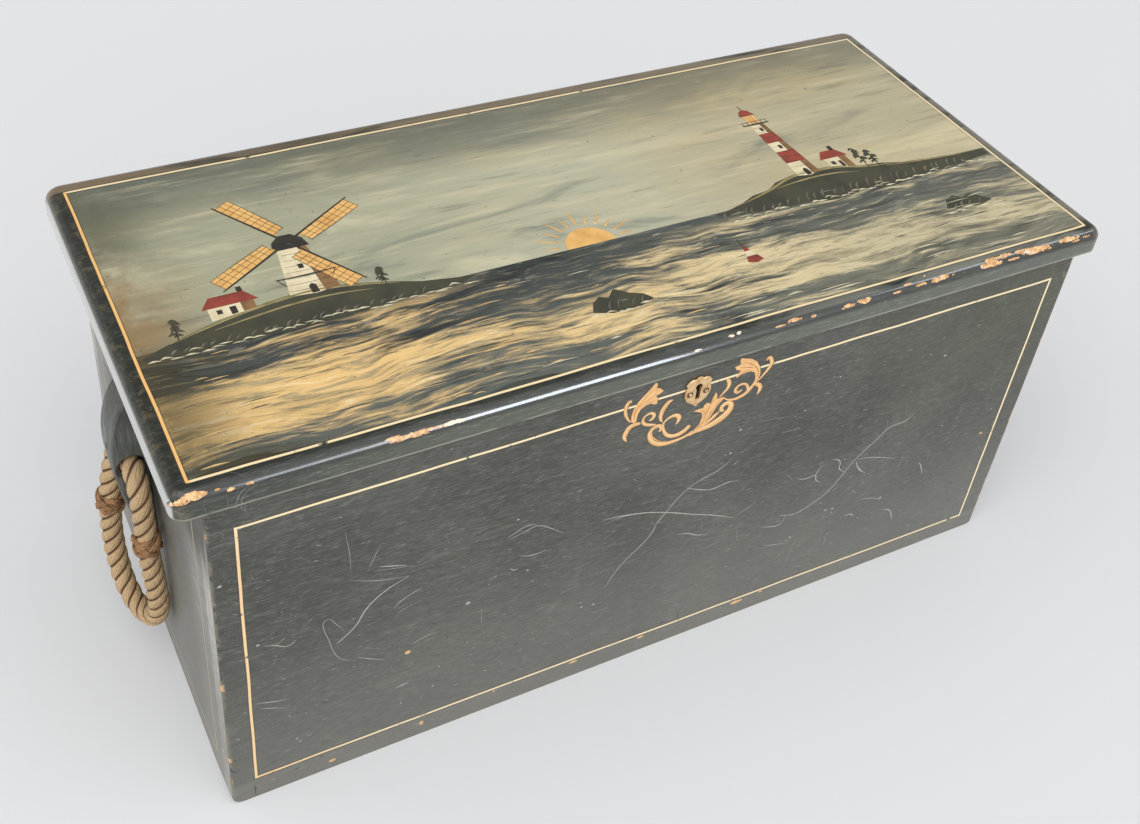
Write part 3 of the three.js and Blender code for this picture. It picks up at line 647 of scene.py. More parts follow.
        reach = calc(tree, "ADD", reach, calc(tree, "MULTIPLY", rub, 1.6))
        chips = calc(tree, "MAXIMUM", chips, calc(tree, "MULTIPLY", rise(tree, reach, 1.7, 1.5), on_front))
    colour = mixed(tree, chips, colour, chip_wood)

    inner_x = calc(tree, "LESS_THAN", across, half_length - 22.6 * mm)
    inner_y = calc(tree, "LESS_THAN", deep, depth - 21.7 * mm)
    inner = calc(tree, "MULTIPLY", inner_x, inner_y)
    inner = calc(tree, "MAXIMUM", inner, calc(tree, "LESS_THAN", z, 0.2 * mm))
    colour = mixed(tree, inner, colour, wood)
    plug(tree, colour, shader.inputs["Base Color"])
    plug(tree, calc(tree, "MULTIPLY_ADD", strokes, 0.3, 0.3), shader.inputs["Roughness"])
    height = calc(tree, "ADD", calc(tree, "MULTIPLY", strokes, 0.8), calc(tree, "MULTIPLY", specks, 0.8))
    height = calc(tree, "SUBTRACT", height, calc(tree, "MULTIPLY", chips, 1.5))
    bumped(tree, shader, height, 0.30 * mm, 0.8)
    return finish


long_paint = carcass_finish("board_paint_lengthwise", (20.0, 170.0, 170.0), "x")
end_paint = carcass_finish("board_paint_crosswise", (170.0, 20.0, 170.0), "y")
dress("front_board", long_paint)
dress("back_board", long_paint)


def worn_foot(hand, side, radius, reach):
    """The end board with its front foot corner rounded off, less and less towards the back."""
    made = smooth_copy(f"{hand}_end_board", f"{hand}_end_board_worn", end_paint, "chest", 30)

    def section(number):
        bend, y = ((radius, front_low.y - 1 * mm), (0.3 * mm, front_low.y + reach))[number]
        ring = [(-2 * mm, -2 * mm), (bend, -2 * mm)]
        for step in range(13):
            turn = math.radians(270 - 7.5 * step)
            ring.append((bend + bend * math.cos(turn), bend + bend * math.sin(turn)))
        ring.append((-2 * mm, bend))
        return [Vector((side * (half_length - inward), y, up)) for inward, up in ring]

    cutter = mesh_piece("foot_cutter", [tube_rows(2, section)], end_paint, smooth=False)
    face_outwards(cutter)
    cut = made.modifiers.new("foot", "BOOLEAN")
    cut.object = cutter
    only(made)
    bpy.ops.object.modifier_apply(modifier="foot")
    bpy.ops.object.shade_smooth_by_angle(angle=math.radians(30))
    bpy.data.objects.remove(cutter)


worn_foot("left", -1, 13 * mm, 45 * mm)
worn_foot("right", 1, 9 * mm, 30 * mm)

# Scratches on the front: long shallow scores where cargo dragged past, paler than the
# paint. They are drawn as hairlines that taper at both ends.
front_face = front_low.y
film_swell = 0.03


def settle(made, turn, place, thickness):
    """Lays a flat thing made in millimetres on its face and fixes it there."""
    only(made)
    made.rotation_euler = (turn, 0, 0)
    made.location = place
    made.scale = (mm, mm, mm * thickness)
    bpy.ops.object.transform_apply(location=True, rotation=True, scale=True)
    bpy.ops.object.mode_set(mode="EDIT")
    bpy.ops.mesh.select_all(action="SELECT")
    bpy.ops.mesh.normals_make_consistent(inside=False)
    bpy.ops.object.mode_set(mode="OBJECT")


def on_front(made, thickness):
    settle(made, math.pi / 2, (0, front_face, 0), thickness)
    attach(made, "chest")


def brush_marks(name, strokes, finish, lay, lift=0.0):
    """Strokes of a loaded brush: lines of (x, y, width), thickest along their middle."""
    made = threads(
        name,
        [[((x, y, lift / film_swell), width / 2) for x, y, width in stroke] for stroke in strokes],
        finish, closed=False,
    )
    lay(made, film_swell)
    return made


def paint_patches(name, outlines, finish, lay, lift=0.0, thickness=0.1):
    """Filled shapes of one coat of paint, given by their outlines."""
    curve = bpy.data.curves.new(name, "CURVE")
    curve.dimensions = "2D"
    curve.fill_mode = "BOTH"
    curve.extrude = 0.5
    for outline in outlines:
        spline = curve.splines.new("POLY")
        spline.points.add(len(outline) - 1)
        spline.use_cyclic_u = True
        for point, (x, y) in zip(spline.points, outline):
            point.co = (x, y, 0, 1)
    made = solid_of(name, curve, finish)
    for vertex in made.data.vertices:
        vertex.co.z += lift / thickness
    lay(made, thickness)
    return made


def plain_paint(name, colour, worn, scale=60.0, roughness=0.5):
    finish, tree, shader = new_finish(name, roughness=roughness)
    place = tree.nodes.new("ShaderNodeTexCoord").outputs["Object"]
    patches = noise(tree, place, scale, 5.0, 0.6)
    bristle = noise(tree, scaled(tree, place, (1.0, 5.0, 5.0)), scale * 6, 3.0)
    made = mixed(tree, rise(tree, patches, 0.35, 0.75), colour, worn)
    made = mixed(tree, calc(tree, "MULTIPLY", rise(tree, bristle, 0.5, 0.8), 0.3), made, worn)
    plug(tree, made, shader.inputs["Base Color"])
    bumped(tree, shader, bristle, 0.12 * mm, 0.6)
    return finish


scratch_finish = plain_paint("scratched_paint", tint(180, 180, 170), tint(144, 145, 136), 120.0)
rubbed_finish = plain_paint("rubbed_paint", tint(138, 139, 130), tint(116, 117, 109), 120.0)
dent_finish = plain_paint("dented_paint", tint(40, 40, 35), tint(54, 54, 48), 120.0)
sharp_scores = [
    (0.5, (-347, 342), (-343, 311), (-342, 286)), (0.6, (-314, 312), (-320, 297), (-326, 282)),
    (0.7, (-312, 300), (-320, 294)), (1.7, (-315, 282), (-302, 277), (-289, 272)),
    (0.6, (-322, 279), (-300, 273), (-282, 268)), (0.8, (-342, 276), (-317, 264), (-286, 256)),
    (1.4, (-286, 256), (-311, 245), (-328, 229), (-337, 212), (-351, 198), (-357, 194)),
    (0.6, (-350, 212), (-357, 223), (-364, 233), (-368, 231), (-368, 220), (-364, 204), (-360, 186), (-353, 170), (-339, 160)),
    (1.0, (-336, 163), (-325, 155), (-310, 145)), (0.6, (-328, 173), (-314, 164)),
    (0.9, (-301, 217), (-295, 223), (-279, 231), (-273, 232)), (0.7, (-304, 232), (-297, 242)),
    (0.5, (-300, 204), (-290, 211), (-279, 214)), (1.0, (-423, 226), (-414, 222), (-401, 215), (-394, 220)),
    (1.1, (-434, 147), (-420, 142), (-406, 137)), (0.8, (-432, 139), (-420, 132), (-406, 125)),
    (0.9, (-282, 154), (-268, 158), (-254, 159)), (0.5, (-282, 148), (-258, 152)),
    (1.0, (-209, 170), (-208, 147)), (1.0, (-189, 262), (-179, 267), (-167, 271), (-157, 268)),
    (0.9, (-187, 260), (-172, 263), (-157, 266), (-139, 254), (-126, 242)),
    (1.4, (-171, 230), (-161, 226), (-143, 226)), (1.2, (-182, 217), (-178, 213), (-172, 212)),
    (1.3, (-84, 242), (-64, 239), (-39, 233), (-20, 226), (0, 217), (25, 204), (56, 189), (80, 175)),
    (0.6, (-82, 235), (-60, 237), (-39, 232)), (1.4, (-145, 137), (-132, 139)), (1.3, (-79, 99), (-61, 98)),
    (1.0, (-155, 70), (-154, 53)), (1.2, (12, 248), (28, 239), (44, 233), (62, 235), (77, 233)),
    (1.3, (11, 179), (25, 175), (37, 167), (52, 162)), (0.9, (41, 186), (42, 173)), (1.2, (141, 215), (150, 204)),
    (1.3, (156, 203), (169, 197), (182, 197), (184, 190), (192, 182)), (1.3, (182, 197), (184, 204), (191, 211)),
    (1.5, (200, 214), (209, 210), (213, 204), (214, 195), (223, 186)),
    (1.0, (236, 200), (250, 197), (272, 189), (294, 179)), (2.0, (236, 197), (244, 182), (255, 172)),
    (1.3, (122, 142), (137, 136), (148, 134), (155, 145)), (0.8, (265, 248), (266, 236)), (0.8, (275, 240), (283, 245)),
    (1.6, (336, 156), (341, 148), (347, 134)), (1.6, (302, 92), (312, 88), (319, 78), (322, 67)),
    (2.0, (244, 107), (253, 106), (258, 101)), (1.0, (259, 128), (277, 122), (292, 114)), (1.5, (244, 148), (250, 142)),
    (0.9, (134, 106), (150, 101), (164, 97)), (1.2, (225, 82), (225, 67)), (0.9, (88, 312), (116, 307)),
    (1.3, (119, 284), (142, 282)), (0.8, (0, 82), (22, 67)), (1.0, (91, 151), (94, 132)),
]
soft_scores = [
    (2.2, (-68, 134), (-61, 148), (-48, 167), (-32, 182), (-20, 198), (-18, 207), (-9, 220), (2, 235), (12, 245),
     (27, 253), (47, 259), (62, 270)),
    (2.8, (302, 245), (291, 237), (270, 235), (258, 223), (242, 209), (231, 197), (219, 178), (206, 161), (187, 150),
     (169, 143), (155, 146), (144, 151)),
    (1.7, (84, 176), (97, 182), (108, 188)), (1.2, (181, 101), (177, 79), (172, 48)), (1.8, (50, 139), (69, 143)),
    (1.8, (75, 126), (84, 129)), (1.8, (109, 123), (125, 128)), (1.4, (94, 139), (112, 136)),
    (5.0, (-297, 94), (-290, 94), (-284, 95)), (4.0, (-404, 228), (-414, 221)),
]
dark_marks = [
    (0.8, (34, 48), (36, 35), (39, 23)), (0.6, (137, 45), (138, 29)), (0.6, (220, 25), (222, 17)),
    (1.0, (434, 354), (445, 355)), (1.2, (444, 17), (456, 14)), (0.8, (440, 83), (459, 84)),
    (1.1, (-442.5, 21), (-442, 13), (-442.5, 2)), (1.2, (-465, 62), (-462, 55), (-457, 50)),
    (3.6, (407, 64), (411, 64)), (2.6, (401, 76), (405, 76)), (3.0, (322, 118), (328, 118)), (3.0, (234, 340), (239, 339)),
    (2.4, (-218, 263), (-208, 262)), (2.4, (-40, 273), (-30, 274)), (2.4, (-100, 65), (-90, 64)), (2.0, (-374, 47), (-366, 48)),
    (1.2, (-150, 358), (-128, 353)), (1.0, (-206, 83), (-184, 84)), (1.6, (-104, 397), (-98, 399)),
]
pale_spots = [
    (-429, 230, 2.8), (-224, 186, 4.4), (-178, 284, 2.2), (-162, 205, 2.4), (-203, 204, 1.2), (-93, 115, 2.4),
    (-79, 112, 3.0), (-95, 123, 1.6), (-257, 74, 2.4), (-181, 68, 1.6), (-199, 67, 1.6), (-404, 110, 1.6),
    (-368, 115, 1.4), (-398, 70, 2.4), (-395, 64, 1.8), (-291, 65, 2.0), (-222, 125, 1.6), (319, 322, 3.0),
    (297, 331, 1.8), (178, 340, 2.0), (64, 309, 3.0), (58, 279, 2.6), (52, 279, 1.6), (142, 307, 1.8), (353, 207, 2.0),
    (292, 116, 3.6), (212, 130, 2.8), (222, 128, 3.2), (222, 122, 1.8), (170, 104, 2.4), (166, 100, 1.8),
    (266, 94, 1.8), (226, 85, 1.8), (-148, 100, 1.2), (-457, 323, 3.4), (-340, 222, 1.6), (-454, 103, 1.8),
]


def tapered(score):
    width, *line = score
    ends = (0, len(line) - 1)
    return [(x, z, width * (0.3 if step in ends else 1.0)) for step, (x, z) in enumerate(line)]


def spot(x, z, size):
    return [(x - 0.6 * size, z - 0.1 * size, 0.4 * size), (x, z + 0.1 * size, size), (x + 0.5 * size, z, 0.5 * size)]


# Nicks and dry brush marks: small pale dashes that follow the grain all over the front,
# closer together low down where feet and cargo struck it.
chance = random.Random(5)
nicks, pits = [], []
for number in range(760):
    x, z = chance.uniform(-450, 445), 16 + 388 * chance.random() ** 1.35
    length, lean = chance.uniform(1.2, 7.5), chance.gauss(0, 0.3)
    if chance.random() < 0.15:
        lean, length = chance.uniform(-1.5, 1.5), length * 0.6
    rise_by = length * math.sin(lean)
    run_by = length * math.cos(lean)
    width = chance.uniform(0.3, 0.8) if number % 12 else chance.uniform(1.1, 1.9)
    (pits if number % 3 == 0 else nicks).append([
        (x, z, 0.1), (x + run_by / 2, z + rise_by / 2 + chance.uniform(-0.6, 0.6), width),
        (x + run_by, z + rise_by, 0.1),
    ])
brush_marks("front_nicks", nicks[::2], rubbed_finish, on_front)
brush_marks("front_pits", pits + [tapered(mark) for mark in dark_marks], dent_finish, on_front)
brush_marks("front_rubs", [tapered(score) for score in soft_scores], rubbed_finish, on_front)
brush_marks(
    "front_scratches",
    [tapered(score) for score in sharp_scores] + [spot(*place) for place in pale_spots] + nicks[1::2],
    scratch_finish, on_front, 0.02,
)

# Scrollwork round the keyhole: leaves and scrolls brushed on in gold ochre over the cream
# line, each stroke with a brown shade below it and a pale edge along its crown.
scroll_strokes = [
    [(-69.5, 369, 1.3), (-73, 374, 2.7), (-76, 381, 3.7), (-77, 387.5, 4.1), (-76, 393, 4.8),
     (-73.5, 396, 4.2), (-71.5, 394.5, 1.5)],
    [(-58, 363, 3.2), (-63.5, 363.8, 5.6), (-68.5, 362.5, 6.3), (-72, 357.5, 6), (-73.6, 351.5, 5),
     (-72, 347, 3), (-70.3, 344.2, 0.8)],
    [(-40, 355, 2.2), (-46, 356.7, 3.7), (-51.5, 359.2, 4), (-55.3, 363.7, 3.7), (-55.3, 368.7, 3),
     (-51.7, 372, 2.8), (-47, 372, 3.7), (-44, 368.5, 4.3), (-45.4, 364.4, 4), (-48.7, 363.2, 2.3)],
    [(-33.7, 356, 2), (-36, 361.7, 4), (-35.7, 369, 5.7), (-33, 375.8, 6), (-29.2, 380.3, 5), (-25.3, 381.4, 1.2)],
    [(-31.5, 353.5, 2), (-29.2, 356.7, 2.7), (-25, 359, 3.7), (-19.2, 359.2, 5), (-15, 355.8, 5.4),
     (-14.7, 350.8, 4.4), (-17.2, 346.4, 1.2)],
    [(-35, 343.5, 2.6), (-33, 347.5, 4.2), (-35.8, 351.7, 5), (-40.8, 351.7, 5), (-44.7, 347.5, 5),
     (-44.7, 341.7, 5.8), (-40.8, 334.2, 7.3), (-33.3, 327.5, 7.3), (-23.3, 324.2, 5.7),
     (-11.7, 324.2, 4), (-3.3, 325.7, 3.4), (5, 329.2, 4)],
    [(-31.7, 355, 2.3), (-31.3, 348.3, 3), (-28.7, 340.8, 4), (-23.3, 334.2, 4.7), (-15, 331.3, 5.3),
     (-6.7, 333.3, 6), (-1.7, 337.5, 5.6), (-0.7, 339.6, 4.7)],
    [(5, 326.7, 2), (13.3, 328, 5), (23.3, 330, 7.7), (33.3, 333.7, 9.3), (41.7, 340, 9),
     (45, 347.5, 7.3), (42.5, 353, 5.7), (37.5, 353.7, 5.7), (34.2, 350.8, 5.7), (34.3, 346.7, 5), (37.5, 344.7, 2.6)],
    [(14.2, 331.3, 1.3), (21.7, 336.7, 4.3), (27.5, 341.7, 5), (31.7, 345.8, 1.6)],
    [(33.3, 363.3, 1), (38.3, 359.2, 2.3), (45, 356.7, 3.3), (52.5, 357, 4.3), (59.2, 359.7, 5),
     (64.2, 365, 5), (68, 370.8, 4.3), (69.7, 376.7, 4)],
    [(61.7, 363, 3.3), (60.3, 367.5, 3.3), (57.5, 372, 3.3), (52.5, 374, 3.3), (47.5, 372, 3.7),
     (46.3, 367, 4), (50, 364.3, 3.7), (54.2, 366.3, 2.3)],
    [(70.8, 371.7, 1.7), (75.8, 377.5, 3), (80, 383.3, 4), (83, 389.2, 4.7), (82, 395, 4.7), (78.3, 399.2, 4), (76.5, 396, 1.7)],
    [(68, 369.2, 3.3), (72.5, 366.7, 5.3), (75.8, 362.5, 5.3), (75.8, 357.5, 4.3), (73.8, 353.3, 1.3)],
    [(28, 365.3, 1.3), (32.5, 370, 3), (36.3, 375, 4.3), (37, 380, 4.7), (34.7, 385, 4.3), (32.5, 386.3, 2.3)],
]
scroll_leaves = [
    [(-68.8, 369), (-69.5, 376.5), (-68.3, 384), (-64.2, 392.5), (-57.5, 400), (-52.5, 405.3), (-48.3, 411.2),
     (-46, 408.3), (-46.2, 403.3), (-42.5, 402), (-38.3, 397.5), (-41.3, 395), (-45.8, 393.7), (-43, 389.2),
     (-43.3, 383), (-46.3, 383.3), (-50, 385.7), (-55, 385), (-60, 382.3), (-62.7, 376.7), (-63.3, 367.5), (-66.3, 366.7)],
    [(-3.3, 325), (5, 329.7), (10.8, 336.7), (12.5, 345), (11.3, 351.7), (6.7, 354.2), (0.3, 357), (6.7, 357.8),
     (11.7, 357.5), (12.2, 360.8), (15, 363), (18, 362), (19.7, 360), (20.8, 367.5), (23.3, 374), (25.3, 370),
     (26.3, 363.7), (30.8, 364.7), (35.3, 363), (31.7, 359.2), (28, 355), (25, 348.3), (20.8, 340), (15, 332.5),
     (9.2, 327.5), (3.3, 324.7)],
    [(71.3, 375), (67, 370), (67, 378.3), (65, 385), (60, 388), (52.5, 388.7), (47.5, 387.5), (44.2, 384.5),
     (43.7, 387), (45.8, 390.8), (47.5, 393.3), (42.5, 395.3), (39.5, 400), (44.2, 400.8), (45.8, 401.7),
     (44.2, 406.7), (45, 409.5), (50, 407.5), (58.3, 404.2), (65, 398.3), (70, 390), (72, 381.7)],
]
scroll_veins = [
    [(-66, 371, 0.5), (-65.5, 382, 0.7), (-60, 391, 0.7), (-51, 402, 0.4)],
    [(-62, 386, 0.3), (-54, 391, 0.7), (-45, 396, 0.3)],
    [(-60, 384, 0.3), (-53, 387.5, 0.6), (-46, 387.5, 0.3)],
    [(8, 331, 0.4), (15, 341, 0.7), (17, 352, 0.7), (23, 366, 0.3)],
    [(10, 331, 0.4), (19, 342, 0.7), (25, 354, 0.6), (31, 362, 0.3)],
    [(13, 343, 0.4), (13.5, 352, 0.6), (8, 356, 0.3)],
    [(69, 374, 0.5), (68.5, 386, 0.7), (62, 395, 0.7), (50, 403, 0.4)],
    [(66, 390, 0.3), (57, 394, 0.7), (46, 397, 0.3)],
    [(64, 388, 0.3), (55, 390.5, 0.6), (47, 389.5, 0.3)],
    [(-43, 340, 0.3), (-38, 333.5, 0.8), (-30, 328.5, 0.7), (-20, 325.5, 0.3)],
    [(16, 329, 0.3), (28, 333, 0.8), (38, 339, 0.8), (42.5, 346, 0.4)],
    [(-72.5, 361, 0.3), (-70, 357, 0.6), (-71, 350, 0.3)],
    [(42, 357.5, 0.3), (52, 358, 0.7), (60, 362.5, 0.3)],
]
gold = plain_paint("gold_ochre_paint", tint(240, 190, 126), tint(222, 168, 106), 90.0)
gold_shade = plain_paint("brown_shade_paint", tint(66, 52, 34), tint(84, 62, 38), 90.0)
gold_light = plain_paint("pale_gold_paint", tint(250, 218, 168), tint(240, 200, 144), 90.0)


def shifted(points, step_x, step_z, grow):
    return [(x + step_x, z + step_z, width + grow) for x, z, width in points]


def grown(outline, step_x, step_z, share):
    middle_x = sum(x for x, z in outline) / len(outline)
    middle_z = sum(z for x, z in outline) / len(outline)
    return [
        (middle_x + (x - middle_x) * share + step_x, middle_z + (z - middle_z) * share + step_z)
        for x, z in outline
    ]


brush_marks("scrollwork_shade", [shifted(stroke, 0.35, -0.45, 0.5) for stroke in scroll_strokes], gold_shade, on_front)
paint_patches("leaf_shade", [grown(leaf, 0.4, -0.5, 1.02) for leaf in scroll_leaves], gold_shade, on_front, 0.0, 0.08)
brush_marks("scrollwork", scroll_strokes, gold, on_front, 0.10)
paint_patches("scrollwork_leaves", scroll_leaves, gold, on_front, 0.08, 0.1)
brush_marks(
    "scrollwork_lights",
    [[(x - 0.15 * width, z + 0.2 * width, 0.22 * width) for x, z, width in stroke] for stroke in scroll_strokes],
    gold_light, on_front, 0.26,
)
brush_marks(
    "scrollwork_veins", scroll_veins, plain_paint("vein_paint", tint(176, 116, 62), tint(150, 96, 50), 90.0),
    on_front, 0.20,
)

# Lock and escutcheon: the shield and its screws are cast brass, dull and scratched, with
# dirt in the low places; the lock case, bolt and staple are blackened wrought iron.


def brass_finish():
    finish, tree, shader = new_finish("aged_brass", roughness=0.5, metallic=0.85)
    place = tree.nodes.new("ShaderNodeTexCoord").outputs["Object"]
    x, y, z = parts_of(tree, place)
    screw_low, screw_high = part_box("escutcheon_screw_right")
    aside = calc(tree, "SUBTRACT", calc(tree, "ABSOLUTE", x), (screw_low.x + screw_high.x) / 2)
    above = calc(tree, "SUBTRACT", z, (screw_low.z + screw_high.z) / 2)
    away = calc(tree, "SQRT", calc(tree, "MULTIPLY_ADD", aside, aside, calc(tree, "MULTIPLY", above, above)))
    rim = (screw_high.x - screw_low.x) / 2
    grime = calc(tree, "MULTIPLY", rise(tree, away, rim * 0.2, rim * 1.0), rise(tree, away, rim * 1.6, rim * 1.15))
    patches = noise(tree, place, 150.0, 5.0, 0.6)
    fine = noise(tree, place, 900.0, 3.0)
    colour = mixed(tree, rise(tree, patches, 0.35, 0.7), tint(226, 194, 148), tint(186, 150, 104))
    colour = mixed(tree, rise(tree, fine, 0.6, 0.75), colour, tint(128, 98, 62))
    colour = mixed(tree, calc(tree, "MULTIPLY", grime, 0.85), colour, tint(48, 34, 20))
    plug(tree, colour, shader.inputs["Base Color"])
    plug(tree, calc(tree, "MULTIPLY_ADD", patches, 0.4, 0.3), shader.inputs["Roughness"])
    bumped(tree, shader, calc(tree, "ADD", patches, fine), 0.25 * mm, 0.7)
    return finish


def iron_finish(name, colour, rust):
    finish, tree, shader = new_finish(name, roughness=0.55, metallic=0.8)
    place = tree.nodes.new("ShaderNodeTexCoord").outputs["Object"]
    patches = noise(tree, place, 60.0, 5.0, 0.6)
    pits = noise(tree, place, 420.0, 3.0)
    made = mixed(tree, rise(tree, patches, 0.42, 0.72), tint(*colour), tint(*rust))
    made = mixed(tree, rise(tree, pits, 0.62, 0.72), made, tint(36, 30, 26))
    plug(tree, made, shader.inputs["Base Color"])
    plug(tree, calc(tree, "MULTIPLY_ADD", patches, 0.5, 0.3), shader.inputs["Roughness"])
    bumped(tree, shader, calc(tree, "ADD", patches, pits), 0.3 * mm, 0.8)
    return finish


brass = brass_finish()
black_iron = iron_finish("black_iron", (58, 56, 53), (92, 62, 44))
for node in ("escutcheon", "escutcheon_screw_left", "escutcheon_screw_right"):
    dress(node, brass)
for node in ("lock_case", "lock_bolt", "lock_staple"):
    dress(node, black_iron)


def slotted_screws(name, places, turn, radius, finish, body):
    """Domed screw heads, each with its slot stopped at another angle."""
    heads = []
    for number, place in enumerate(places):
        bpy.ops.object.select_all(action="DESELECT")
        bpy.ops.mesh.primitive_uv_sphere_add(segments=24, ring_count=12, radius=radius)
        head = bpy.context.object
        head.scale = (1, 1, 0.4)
        bpy.ops.object.transform_apply(location=False, rotation=False, scale=True)
        bpy.ops.mesh.primitive_cube_add(size=radius, location=(0, 0, 0.45 * radius))
        slot = bpy.context.object
        slot.scale = (2.6, 0.24, 0.4)
        cut = head.modifiers.new("slot", "BOOLEAN")
        cut.object = slot
        only(head)
        bpy.ops.object.modifier_apply(modifier="slot")
        bpy.data.objects.remove(slot)
        head.rotation_euler = (0, 0, 0.5 + 1.9 * number)
        bpy.ops.object.transform_apply(location=False, rotation=True, scale=False)
        head.rotation_euler = turn
        head.location = place
        bpy.ops.object.transform_apply(location=True, rotation=True, scale=False)
        heads.append(head)
    only(heads[0])
    for head in heads:
        head.select_set(True)
    bpy.ops.object.join()
    made = bpy.context.object
    made.name = name
    bpy.ops.object.shade_smooth_by_angle(angle=math.radians(35))
    made.data.materials.append(finish)
    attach(made, body)


case_low, case_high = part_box("lock_case")
slotted_screws(
    "lock_case_screws",
    [(x, case_high.y, z) for x in (case_low.x + 8 * mm, case_high.x - 8 * mm) for z in (case_low.z + 8 * mm, case_high.z - 8 * mm)],
    (-math.pi / 2, 0, 0), 3.2 * mm, black_iron, "chest",
)

# Hinges and nails: forged straps, black paint over iron, rusted in patches and at
# the knuckles. The cleat nails are rusty rose-headed iron.
rusty_iron = iron_finish("rusty_iron", (70, 58, 50), (112, 70, 44))
for hand in ("left", "right"):
    for part in ("hinge_lid_strap", "hinge_back_strap"):
        dress(f"{hand}_{part}", black_iron)
    for part in ("hinge_pin", "cleat_nail_lower", "cleat_nail_upper"):
        dress(f"{hand}_{part}", rusty_iron)
    back_low_corner, back_high_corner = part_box(f"{hand}_hinge_back_strap")
    lid_low_corner, lid_high_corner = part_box(f"{hand}_hinge_lid_strap")
    hinge_x = (back_low_corner.x + back_high_corner.x) / 2
    slotted_screws(
        f"{hand}_back_strap_screws",
        [(hinge_x, back_high.y + 3 * mm, back_low_corner.z + up * mm) for up in (12, 54, 96)],
        (-math.pi / 2, 0, 0), 4.2 * mm, rusty_iron, "chest",
    )
    slotted_screws(
        f"{hand}_lid_strap_screws",
        [(hinge_x, lid_low_corner.y + along * mm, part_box("lid_board")[0].z) for along in (12, 66, 120)],
        (math.pi, 0, 0), 4.2 * mm, rusty_iron, "lid",
    )

# Lid: one wide board with a rounded upper edge. Its top carries a varnished sea scene in
# grey-green, slate and cream inside a cream line; its edge is dark paint, chipped to wood.
lid_low, lid_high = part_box("lid_board")
lid_front = lid_low.y
horizon = 171 * mm


